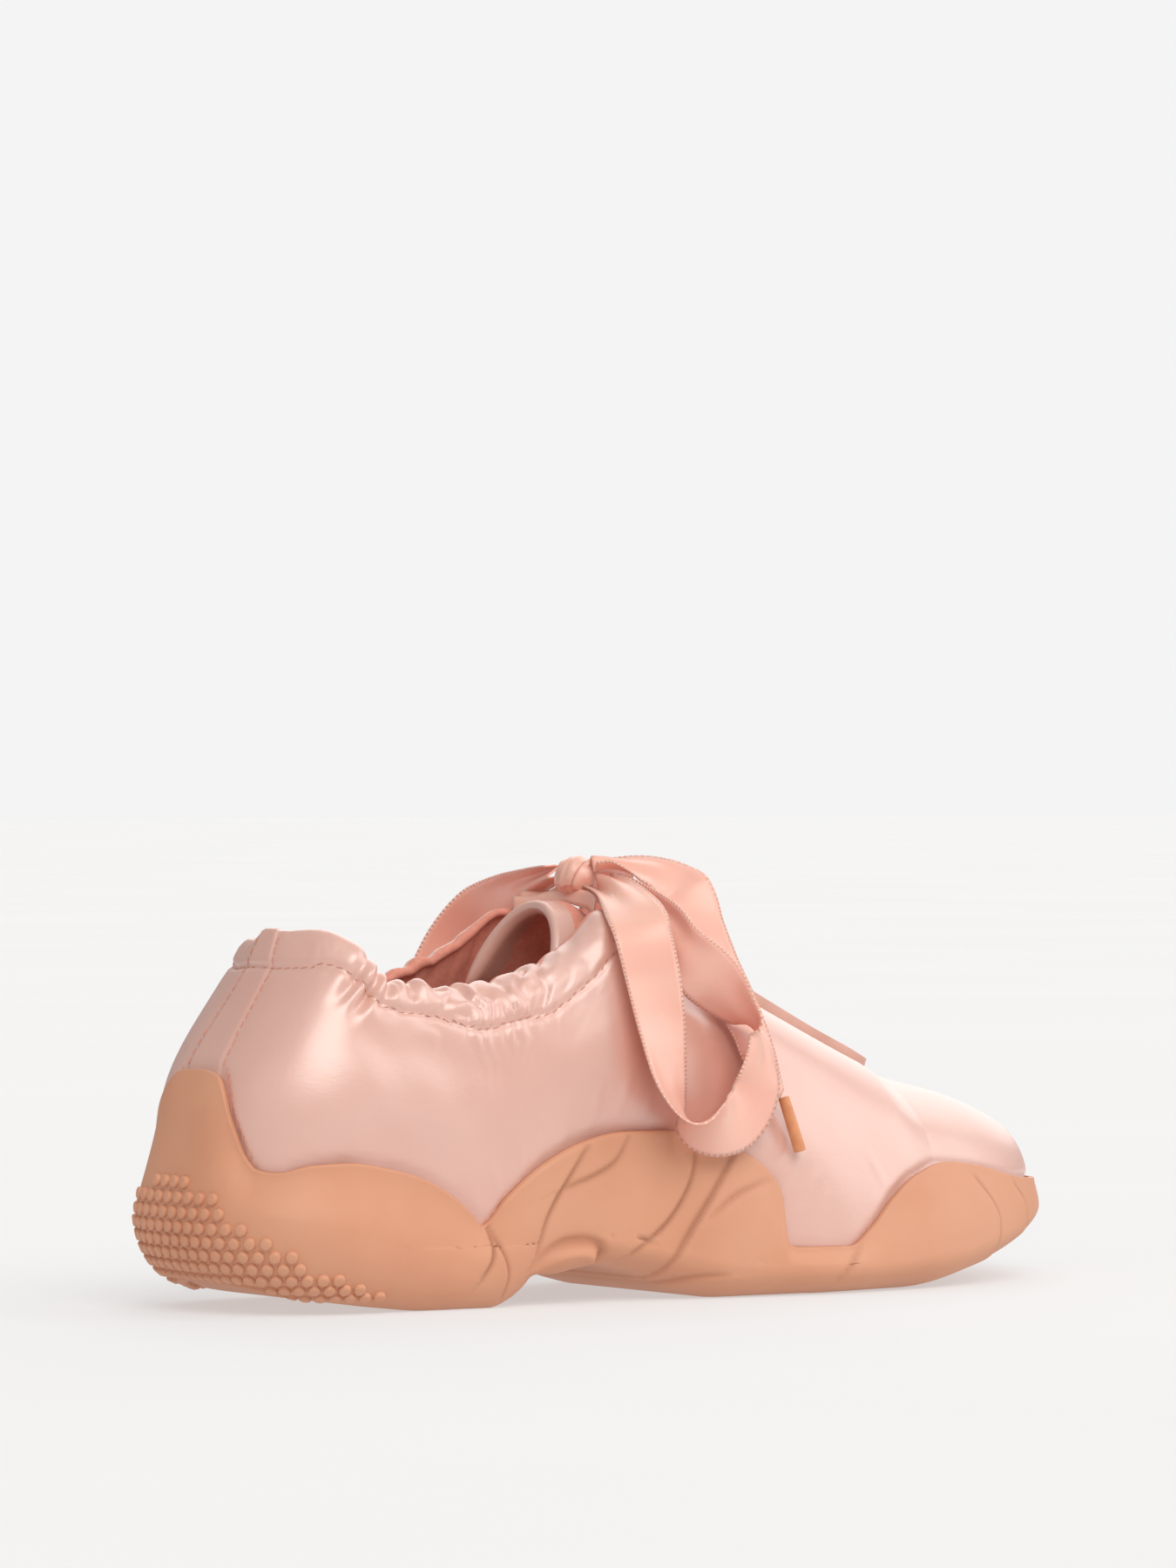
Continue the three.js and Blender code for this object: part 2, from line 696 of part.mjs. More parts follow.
// Padded tongue: an arch along the throat with a rounded rear rim
function tongueSolid() {
  const stations = 10;
  const columns = 8;
  const from = tongueLine[0].x;
  const to = tongueLine[tongueLine.length - 1].x;
  const arch = (x, inside) => Array.from({ length: columns + 1 }, (_, j) => {
    const angle = Math.PI * (j / columns - 0.5);
    const half = along(tongueLine, "half", x) - inside;
    const drop = along(tongueLine, "drop", x);
    const y = along(spine, "y", x) + half * Math.sin(angle);
    return new THREE.Vector3(x, y, along(tongueLine, "z", x) - inside - drop * (1 - Math.cos(angle)));
  });
  const xs = Array.from({ length: stations + 1 }, (_, i) => from + ((to - from) * i) / stations);
  const outer = xs.map((x) => arch(x, 0));
  const inner = xs.map((x) => arch(x, tongueThick));
  const faces = [...gridFaces(outer, false), ...gridFaces(inner, true)];
  for (const j of [0, columns]) {
    faces.push(...gridFaces(xs.map((_, i) => [inner[i][j], outer[i][j]]), j === columns));
  }
  for (const i of [0, stations]) {
    faces.push(...gridFaces([outer[i], inner[i]], i === 0));
  }
  return solidOf(faces);
}

// Thick tab over the throat, cut from the last's own form
function tabSolid() {
  const outline = new THREE.Shape();
  outline.moveTo(tab.rear, -tab.half);
  outline.lineTo(tab.front - 2 * tab.nose, -tab.nose);
  outline.absarc(tab.front - tab.nose, 0.5, tab.nose, -Math.PI / 2, Math.PI / 2, false);
  outline.lineTo(tab.rear, tab.half);
  outline.closePath();
  const block = new THREE.ExtrudeGeometry(outline, { depth: 70, bevelEnabled: false, curveSegments: 10 });
  block.translate(0, 0, 35);
  return lastForm(fitGap + tab.thick).subtract(lastForm(fitGap)).intersect(manifoldOf(block));
}

// A flat band along a run of rows
function bandSolid(rows, steps) {
  const curve = new THREE.CatmullRomCurve3(rows.map((r) => new THREE.Vector3(r.x, r.y, r.z)));
  const turns = new THREE.CatmullRomCurve3(rows.map((r) => new THREE.Vector3(r.ax, r.ay, r.az)));
  const count = steps * (rows.length - 1);
  const rings = Array.from({ length: count + 1 }, (_, i) => {
    const t = i / count;
    const middle = curve.getPoint(t);
    const forward = curve.getTangent(t);
    const across = turns.getPoint(t);
    across.addScaledVector(forward, -across.dot(forward)).normalize();
    const face = forward.clone().cross(across).normalize();
    const k = Math.min(Math.floor(t * (rows.length - 1)), rows.length - 2);
    const share = t * (rows.length - 1) - k;
    const half = (rows[k].width * (1 - share) + rows[k + 1].width * share) / 2;
    const corner = (a, b) => middle.clone().addScaledVector(across, a * half).addScaledVector(face, (b * ribbonThick) / 2);
    return [corner(-1, -1), corner(1, -1), corner(1, 1), corner(-1, 1)];
  });
  // Both faces of the band share their diagonals, so it keeps its thickness where it twists
  const quads = gridFaces(rings.map((ring) => [...ring, ring[0]]), false);
  const faces = quads.map((quad, k) => (k % 4 === 2 ? [...quad.slice(1), quad[0]] : quad));
  faces.push(rings[0].slice(), rings[count].slice().reverse());
  const solid = solidOf(faces);
  return solid.volume() > 0 ? solid : solidOf(faces.map((face) => face.slice().reverse()));
}

function knotGeometry() {
  const geometry = new THREE.IcosahedronGeometry(1, 2);
  geometry.scale(knot.long, knot.wide, knot.tall);
  geometry.translate(knot.x, knot.y, knot.z);
  return geometry;
}

function agletGeometry([from, to]) {
  const start = new THREE.Vector3(...from);
  const end = new THREE.Vector3(...to);
  const run = end.clone().sub(start);
  const geometry = new THREE.CylinderGeometry(aglet.radius, aglet.radius, run.length(), aglet.sides);
  const turn = new THREE.Quaternion().setFromUnitVectors(new THREE.Vector3(0, 1, 0), run.clone().normalize());
  geometry.applyQuaternion(turn);
  const middle = start.add(end).multiplyScalar(0.5);
  geometry.translate(middle.x, middle.y, middle.z);
  return geometry;
}

const looks = {
  rubber: { color: 0xd99c7c, roughness: 0.75, metalness: 0 },
  satin: { color: 0xe8bdaf, roughness: 0.4, metalness: 0 },
  lining: { color: 0xc98a78, roughness: 0.85, metalness: 0 },
  suede: { color: 0xd3a698, roughness: 0.85, metalness: 0 },
  ribbon: { color: 0xf4bba9, roughness: 0.35, metalness: 0 },
  plastic: { color: 0xd98f64, roughness: 0.5, metalness: 0 },
};

const shoe = new THREE.Group();

function addPiece(name, geometry, look) {
  const mesh = new THREE.Mesh(geometry, new THREE.MeshStandardMaterial(looks[look]));
  mesh.name = name;
  mesh.position.set(-planCentre.x, -planCentre.y, 0);
  shoe.add(mesh);
}

addPiece("sole", geometryOf(soleSolid()), "rubber");
addPiece("upper", geometryOf(upperSolid()), "satin");
addPiece("insole", geometryOf(insoleSolid()), "lining");
addPiece("tongue", geometryOf(tongueSolid()), "lining");
addPiece("throat_tab", geometryOf(tabSolid()), "suede");
for (const [name, rows] of Object.entries(bands)) {
  addPiece(`ribbon_${name}`, geometryOf(bandSolid(rows, 2)), "ribbon");
}
addPiece("ribbon_knot", geometryOf(manifoldOf(knotGeometry())), "ribbon");
for (const [name, run] of Object.entries(agletRuns)) {
  addPiece(name, geometryOf(manifoldOf(agletGeometry(run))), "plastic");
}

export default shoe;
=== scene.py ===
import math
import random

import bpy
import numpy as np
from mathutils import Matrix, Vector


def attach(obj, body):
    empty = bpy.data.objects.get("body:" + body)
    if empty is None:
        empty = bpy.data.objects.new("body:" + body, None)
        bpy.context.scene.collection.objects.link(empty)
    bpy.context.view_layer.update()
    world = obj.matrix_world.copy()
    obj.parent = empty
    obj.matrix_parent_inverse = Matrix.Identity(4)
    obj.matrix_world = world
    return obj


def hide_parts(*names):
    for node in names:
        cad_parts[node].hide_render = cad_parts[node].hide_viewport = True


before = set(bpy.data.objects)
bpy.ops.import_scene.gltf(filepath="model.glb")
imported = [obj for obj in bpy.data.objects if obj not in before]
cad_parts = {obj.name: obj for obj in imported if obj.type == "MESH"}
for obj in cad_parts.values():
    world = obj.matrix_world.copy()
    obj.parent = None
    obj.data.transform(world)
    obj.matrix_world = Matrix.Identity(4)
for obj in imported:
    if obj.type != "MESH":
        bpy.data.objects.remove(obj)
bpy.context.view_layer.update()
bpy.ops.object.select_all(action="DESELECT")
print("frame loaded")

# shoe millimetres run from the back of the last; the frame's origin is under the middle of the plan
planCentre = {"x": 122.8, "y": -0.4}
halfPi = math.pi / 2


def toFrame(points):
    return (np.asarray(points, float) - (planCentre["x"], planCentre["y"], 0)) / 1000


def table(names, *rows):
    return {name: np.array(column, float) for name, column in zip(names.split(), zip(*rows))}


def smooth(low, high, x):
    t = np.clip((np.asarray(x, float) - low) / (high - low), 0, 1)
    return t * t * (3 - 2 * t)


def along(rows, column, x):  # monotone curve through a table's column
    xs, ys = rows["x"], rows[column]
    span = np.diff(xs)
    slope = np.diff(ys) / span
    tangent = np.zeros(len(xs))
    tangent[0], tangent[-1] = slope[0], slope[-1]
    for i in range(1, len(xs) - 1):
        if slope[i - 1] * slope[i] > 0:
            before, after = 2 * span[i] + span[i - 1], span[i] + 2 * span[i - 1]
            tangent[i] = (before + after) / (before / slope[i - 1] + after / slope[i])
    x = np.clip(np.asarray(x, float), xs[0], xs[-1])
    i = np.clip(np.searchsorted(xs, x) - 1, 0, len(span) - 1)
    t = (x - xs[i]) / span[i]
    rise = span[i] * (t * (1 - t) ** 2 * tangent[i] + t * t * (t - 1) * tangent[i + 1])
    return (1 + 2 * t) * (1 - t) ** 2 * ys[i] + t * t * (3 - 2 * t) * ys[i + 1] + rise


def unit(v):
    v = np.asarray(v, float)
    return v / np.maximum(np.linalg.norm(v, axis=-1, keepdims=True), 1e-12)


def splineRows(rows, count):  # even points on a smooth curve through rows, by arc length
    rows = np.asarray(rows, float)
    ends = np.vstack([2 * rows[0] - rows[1], rows, 2 * rows[-1] - rows[-2]])
    fine = []
    for i in range(len(rows) - 1):
        a, b, c, d = ends[i : i + 4]
        t = np.linspace(0, 1, 24, endpoint=False)[:, None]
        fine.append(0.5 * (2 * b + (c - a) * t + (2 * a - 5 * b + 4 * c - d) * t**2 + (3 * b - a - 3 * c + d) * t**3))
    fine = np.vstack(fine + [rows[-1:]])
    run = np.concatenate([[0], np.cumsum(np.linalg.norm(np.diff(fine[:, :3], axis=0), axis=1))])
    at = np.linspace(0, run[-1], count)
    return np.stack([np.interp(at, run, fine[:, k]) for k in range(fine.shape[1])], -1), run[-1]


def runDistance(x, z, run):  # distance to a drawn run, which side of it, and how far along it
    best = np.full(np.shape(x), 1e9)
    side, share = np.zeros_like(best), np.zeros_like(best)
    run = splineRows([(a, b, 0) for a, b in run], 26)[0][:, :2]
    for i in range(len(run) - 1):
        a, d = run[i], run[i + 1] - run[i]
        t = np.clip(((x - a[0]) * d[0] + (z - a[1]) * d[1]) / (d @ d), 0, 1)
        far = np.hypot(x - a[0] - t * d[0], z - a[1] - t * d[1])
        near = far < best
        side = np.where(near, np.sign((x - a[0]) * d[1] - (z - a[1]) * d[0]), side)
        share = np.where(near, (i + t) / (len(run) - 1), share)
        best = np.where(near, far, best)
    return best, side, share


def softNoise(seed, x, y, size, layers=6):  # slow seeded waves, about -1 to 1
    rng = random.Random(seed)
    total = np.zeros(np.broadcast(x, y).shape)
    for _ in range(layers):
        turn, wave = rng.uniform(0, math.pi), size * rng.uniform(0.7, 1.6)
        total = total + np.sin(2 * math.pi * (x * math.cos(turn) + y * math.sin(turn)) / wave + rng.uniform(0, 6.28))
    return total / math.sqrt(layers)


def hexColour(text):
    parts = [int(text[i : i + 2], 16) / 255 for i in (1, 3, 5)]
    return (*[c / 12.92 if c <= 0.04045 else ((c + 0.055) / 1.055) ** 2.4 for c in parts], 1)


def addNode(tree, kind, inputs=None, stops=(), **settings):
    node = tree.nodes.new(kind)
    for name, value in settings.items():
        setattr(node, name, value)
    for name, value in (inputs or {}).items():
        if isinstance(value, bpy.types.NodeSocket):
            tree.links.new(value, node.inputs[name])
        else:
            node.inputs[name].default_value = value
    if stops:  # colours of a ramp by their place on it
        elements = node.color_ramp.elements
        while len(elements) < len(stops):
            elements.new(0.5)
        for element, (place, colour) in zip(elements, stops):
            element.position, element.color = place, hexColour(colour)
    return node


def newMaterial(name, **sockets):
    material = bpy.data.materials.new(name)
    material.use_nodes = True
    shader = material.node_tree.nodes["Principled BSDF"]
    for socket, value in sockets.items():
        shader.inputs[socket.replace("_", " ")].default_value = value
    return material, material.node_tree, shader


def perMm(size):  # texture scale for features of this many millimetres
    return 1000 / size


# polyester satin: long floats of thread give a broad soft gloss that breaks up along the weave
satin, tree, shader = newMaterial(
    "polyesterSatin", Roughness=0.4, IOR=1.7, Specular_IOR_Level=1.0, Coat_Weight=0.6, Coat_Roughness=0.36, Coat_IOR=1.6
)
place = addNode(tree, "ShaderNodeTexCoord").outputs["Object"]
tone = addNode(tree, "ShaderNodeTexNoise", {"Vector": place, "Scale": perMm(45), "Detail": 3.0})
tones = addNode(tree, "ShaderNodeValToRGB", {"Fac": tone.outputs["Fac"]}, ((0.3, "#D59E8D"), (0.55, "#D9A797"), (0.75, "#DDAE9F")))
tree.links.new(tones.outputs["Color"], shader.inputs["Base Color"])
stretched = addNode(tree, "ShaderNodeMapping", {"Vector": place, "Scale": (0.25, 0.25, 1.0)})
# threads of 0.1 mm are drawn coarser, so that they show
thread = addNode(tree, "ShaderNodeTexNoise", {"Vector": stretched.outputs["Vector"], "Scale": perMm(0.55), "Detail": 2.0})
slub = addNode(tree, "ShaderNodeTexNoise", {"Vector": place, "Scale": perMm(6.0), "Detail": 4.0})
fine = addNode(tree, "ShaderNodeBump", {"Strength": 0.45, "Distance": 0.00006, "Height": thread.outputs["Fac"]})
both = addNode(tree, "ShaderNodeBump", {"Strength": 0.25, "Distance": 0.0004, "Height": slub.outputs["Fac"], "Normal": fine.outputs["Normal"]})
tree.links.new(both.outputs["Normal"], shader.inputs["Normal"])

# satin ribbon: smoother and thinner than the upper's satin, with a woven picot along both edges
ribbonSatin, tree, shader = newMaterial(
    "satinRibbon", Roughness=0.36, IOR=1.55, Specular_IOR_Level=0.7, Sheen_Weight=0.05, Subsurface_Weight=0.25, Subsurface_Scale=0.002
)
uv = addNode(tree, "ShaderNodeUVMap", uv_map="UVMap").outputs["UV"]
split = addNode(tree, "ShaderNodeSeparateXYZ", {"Vector": uv})  # x: millimetres along the ribbon, y: share across it
fromMiddle = addNode(tree, "ShaderNodeMath", {0: split.outputs["Y"], 1: 0.5}, operation="SUBTRACT")
edge = addNode(tree, "ShaderNodeMath", {0: fromMiddle.outputs[0]}, operation="ABSOLUTE")
selvedge = addNode(tree, "ShaderNodeMapRange", {"Value": edge.outputs[0], "From Min": 0.455, "From Max": 0.475})
turns = addNode(tree, "ShaderNodeMath", {0: split.outputs["X"], 1: 2 * math.pi / 1.1}, operation="MULTIPLY")  # a picot each 1.1 mm
wave = addNode(tree, "ShaderNodeMath", {0: turns.outputs[0]}, operation="SINE")
picot = addNode(tree, "ShaderNodeMath", {0: wave.outputs[0], 1: selvedge.outputs[0]}, operation="MULTIPLY")
cloth = addNode(tree, "ShaderNodeTexNoise", {"Vector": uv, "Scale": 0.06, "Detail": 2.0})
body = addNode(tree, "ShaderNodeValToRGB", {"Fac": cloth.outputs["Fac"]}, ((0.35, "#E9AC99"), (0.65, "#EDB8A6"))).outputs["Color"]
rim = addNode(tree, "ShaderNodeMix", {"Factor": selvedge.outputs[0], 6: body, 7: hexColour("#EAAF9C")}, data_type="RGBA")
dots = addNode(tree, "ShaderNodeMapRange", {"Value": picot.outputs[0], "From Min": 0.0, "From Max": 1.0, "To Max": 0.55})
spotted = addNode(tree, "ShaderNodeMix", {"Factor": dots.outputs[0], 6: rim.outputs[2], 7: hexColour("#FBD9CC")}, data_type="RGBA")
tree.links.new(spotted.outputs[2], shader.inputs["Base Color"])
twillPlace = addNode(tree, "ShaderNodeMapping", {"Vector": uv, "Scale": (1.0, 15.0, 1.0), "Rotation": (0, 0, 0.9)})
twill = addNode(tree, "ShaderNodeTexWave", {"Vector": twillPlace.outputs["Vector"], "Scale": 0.42, "Distortion": 1.5, "Detail Scale": 2.0})
twillBump = addNode(tree, "ShaderNodeBump", {"Strength": 0.12, "Distance": 0.00005, "Height": twill.outputs["Fac"]})
picotBump = addNode(tree, "ShaderNodeBump", {"Strength": 0.8, "Distance": 0.0002, "Height": picot.outputs[0], "Normal": twillBump.outputs["Normal"]})
tree.links.new(picotBump.outputs["Normal"], shader.inputs["Normal"])

# moulded rubber: even and matt, with a faint bloom and a fine pebble from the mould
rubberMaterial, tree, shader = newMaterial("mouldedRubber", Roughness=0.58, IOR=1.5)
place = addNode(tree, "ShaderNodeTexCoord").outputs["Object"]
bloom = addNode(tree, "ShaderNodeTexNoise", {"Vector": place, "Scale": perMm(30), "Detail": 4.0})
even = addNode(tree, "ShaderNodeValToRGB", {"Fac": bloom.outputs["Fac"]}, ((0.3, "#CD8F6F"), (0.55, "#D19676"), (0.8, "#D59D7F"))).outputs["Color"]
paintedCreaseShade = addNode(tree, "ShaderNodeAttribute", attribute_name="paintedCreaseShade")  # painted shade: a dark brown mixed into the rubber's colour along the moulded folds and under the arch lip
paintedFoldShade = addNode(tree, "ShaderNodeMix", {"Factor": paintedCreaseShade.outputs["Fac"], 6: even, 7: hexColour("#9C5F41")}, data_type="RGBA")
tree.links.new(paintedFoldShade.outputs[2], shader.inputs["Base Color"])
pebble = addNode(tree, "ShaderNodeTexNoise", {"Vector": place, "Scale": perMm(0.7), "Detail": 3.0})
matt = addNode(tree, "ShaderNodeMapRange", {"Value": bloom.outputs["Fac"], "To Min": 0.5, "To Max": 0.66})
tree.links.new(matt.outputs[0], shader.inputs["Roughness"])
pebbleBump = addNode(tree, "ShaderNodeBump", {"Strength": 0.2, "Distance": 0.00008, "Height": pebble.outputs["Fac"]})
tree.links.new(pebbleBump.outputs["Normal"], shader.inputs["Normal"])

# brushed knit lining: dull and fuzzy, a deeper pink than the satin
liningCloth, tree, shader = newMaterial("brushedLining", Roughness=0.8, IOR=1.45, Sheen_Weight=0.1, Sheen_Roughness=0.5)
place = addNode(tree, "ShaderNodeTexCoord").outputs["Object"]
nap = addNode(tree, "ShaderNodeTexNoise", {"Vector": place, "Scale": perMm(1.2), "Detail": 4.0})
tones = addNode(tree, "ShaderNodeValToRGB", {"Fac": nap.outputs["Fac"]}, ((0.3, "#D98C78"), (0.7, "#E49C88")))
tree.links.new(tones.outputs["Color"], shader.inputs["Base Color"])
napBump = addNode(tree, "ShaderNodeBump", {"Strength": 0.35, "Distance": 0.00015, "Height": nap.outputs["Fac"]})
tree.links.new(napBump.outputs["Normal"], shader.inputs["Normal"])

# suede split leather for the tab: soft nap with cloudy tone
tabSuede, tree, shader = newMaterial("suedeTab", Roughness=0.7, IOR=1.45, Sheen_Weight=0.25, Sheen_Roughness=0.45)
place = addNode(tree, "ShaderNodeTexCoord").outputs["Object"]
cloud = addNode(tree, "ShaderNodeTexNoise", {"Vector": place, "Scale": perMm(9), "Detail": 5.0})
tones = addNode(tree, "ShaderNodeValToRGB", {"Fac": cloud.outputs["Fac"]}, ((0.3, "#CB9B8B"), (0.7, "#D8AC9D")))
tree.links.new(tones.outputs["Color"], shader.inputs["Base Color"])
fibre = addNode(tree, "ShaderNodeTexNoise", {"Vector": place, "Scale": perMm(0.6), "Detail": 3.0})
fibreBump = addNode(tree, "ShaderNodeBump", {"Strength": 0.3, "Distance": 0.00012, "Height": fibre.outputs["Fac"]})
tree.links.new(fibreBump.outputs["Normal"], shader.inputs["Normal"])

# spun polyester thread: twisted, a shade browner than the satin
sewingThread, tree, shader = newMaterial("sewingThread", Roughness=0.6, IOR=1.5)
place = addNode(tree, "ShaderNodeTexCoord").outputs["Object"]
twist = addNode(tree, "ShaderNodeTexNoise", {"Vector": place, "Scale": perMm(0.8), "Detail": 2.0})
tones = addNode(tree, "ShaderNodeValToRGB", {"Fac": twist.outputs["Fac"]}, ((0.3, "#C08571"), (0.7, "#D09A86")))
tree.links.new(tones.outputs["Color"], shader.inputs["Base Color"])

# moulded plastic tip: tan, slightly glossy, with faint flow marks
tipPlastic, tree, shader = newMaterial("mouldedTip", Roughness=0.4, IOR=1.46)
place = addNode(tree, "ShaderNodeTexCoord").outputs["Object"]
flow = addNode(tree, "ShaderNodeTexNoise", {"Vector": place, "Scale": perMm(3), "Detail": 3.0})
tones = addNode(tree, "ShaderNodeValToRGB", {"Fac": flow.outputs["Fac"]}, ((0.3, "#CF875C"), (0.7, "#DB9569")))
tree.links.new(tones.outputs["Color"], shader.inputs["Base Color"])
flowBump = addNode(tree, "ShaderNodeBump", {"Strength": 0.15, "Distance": 0.0001, "Height": flow.outputs["Fac"]})
tree.links.new(flowBump.outputs["Normal"], shader.inputs["Normal"])
print("materials ready")


def gridPiece(name, points, marks=None):  # a grid primitive shaped to rows of points, in shoe millimetres
    points = np.asarray(points, float)
    columns, rows = points.shape[:2]
    bpy.ops.object.select_all(action="DESELECT")
    bpy.ops.mesh.primitive_grid_add(x_subdivisions=columns - 1, y_subdivisions=rows - 1, size=2, calc_uvs=True)
    piece = bpy.context.object
    piece.name = piece.data.name = name
    flat = np.empty(len(piece.data.vertices) * 3)
    piece.data.vertices.foreach_get("co", flat)
    flat = flat.reshape(-1, 3)
    i = np.rint((flat[:, 0] + 1) / 2 * (columns - 1)).astype(int)
    j = np.rint((flat[:, 1] + 1) / 2 * (rows - 1)).astype(int)
    piece.data.vertices.foreach_set("co", toFrame(points[i, j]).ravel())
    if marks:
        piece.data.attributes.new(marks[0], "FLOAT", "POINT").data.foreach_set("value", marks[1][i, j])
    piece.data.update()
    return piece


def applyModifier(piece, kind, **settings):
    modifier = piece.modifiers.new(kind.title(), kind)
    for name, value in settings.items():
        setattr(modifier, name, value)
    bpy.ops.object.select_all(action="DESELECT")
    piece.select_set(True)
    bpy.context.view_layer.objects.active = piece
    bpy.ops.object.modifier_apply(modifier=modifier.name)


def mergeSeams(piece, gap=2e-6):  # closes the places where rows or columns meet
    bpy.ops.object.select_all(action="DESELECT")
    piece.select_set(True)
    bpy.context.view_layer.objects.active = piece
    bpy.ops.object.mode_set(mode="EDIT")
    bpy.ops.mesh.select_all(action="SELECT")
    bpy.ops.mesh.remove_doubles(threshold=gap)
    bpy.ops.mesh.delete_loose()
    bpy.ops.mesh.select_all(action="SELECT")
    bpy.ops.mesh.normals_make_consistent(inside=False)
    bpy.ops.object.mode_set(mode="OBJECT")


def joinPieces(name, pieces):
    bpy.ops.object.select_all(action="DESELECT")
    for piece in pieces:
        piece.select_set(True)
    bpy.context.view_layer.objects.active = pieces[0]
    if len(pieces) > 1:
        bpy.ops.object.join()
    pieces[0].name = pieces[0].data.name = name
    return pieces[0]


def finishPiece(piece, material, slot, *nodes):
    piece.data.materials.clear()
    piece.data.materials.append(material)
    piece.data.polygons.foreach_set("use_smooth", [True] * len(piece.data.polygons))
    piece.data.update()
    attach(piece, "root")
    if nodes:
        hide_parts(*nodes)
    return piece


def copiesOf(name, shape, places):  # one shape modelled once and set down at each place, joined in one mesh
    co = np.array([v.co for v in shape.data.vertices])
    faces = [tuple(p.vertices) for p in shape.data.polygons]
    points, quads = [], []
    for k, (origin, matrix) in enumerate(places):
        points.append(toFrame(origin) + co @ np.asarray(matrix).T)
        quads += [tuple(v + k * len(co) for v in face) for face in faces]
    mesh = bpy.data.meshes.new(name)
    mesh.from_pydata(np.vstack(points).tolist(), [], quads)
    mesh.update()
    piece = bpy.data.objects.new(name, mesh)
    bpy.context.collection.objects.link(piece)
    bpy.data.objects.remove(shape, do_unlink=True)
    return piece


# camera: level, low, from behind the heel's outer side, as in the photograph
cameraLook = {"turn": 35.0, "away": 1700.0, "height": 124.7, "lens": 158.0, "aim": 129.0, "aside": 11.06}
turn = math.radians(cameraLook["turn"])
ahead, right = np.array([math.sin(turn), math.cos(turn), 0]), np.array([math.cos(turn), -math.sin(turn), 0])
eye = np.array([cameraLook["aim"], 0, cameraLook["height"]]) - ahead * cameraLook["away"] - right * cameraLook["aside"]
bpy.ops.object.camera_add(location=toFrame(eye), rotation=(halfPi, 0, -turn))
camera = bpy.context.object
camera.data.sensor_fit = "VERTICAL"
camera.data.sensor_height = 36
camera.data.lens = cameraLook["lens"]
camera.data.clip_end = 50
bpy.context.scene.camera = camera
print("camera set")

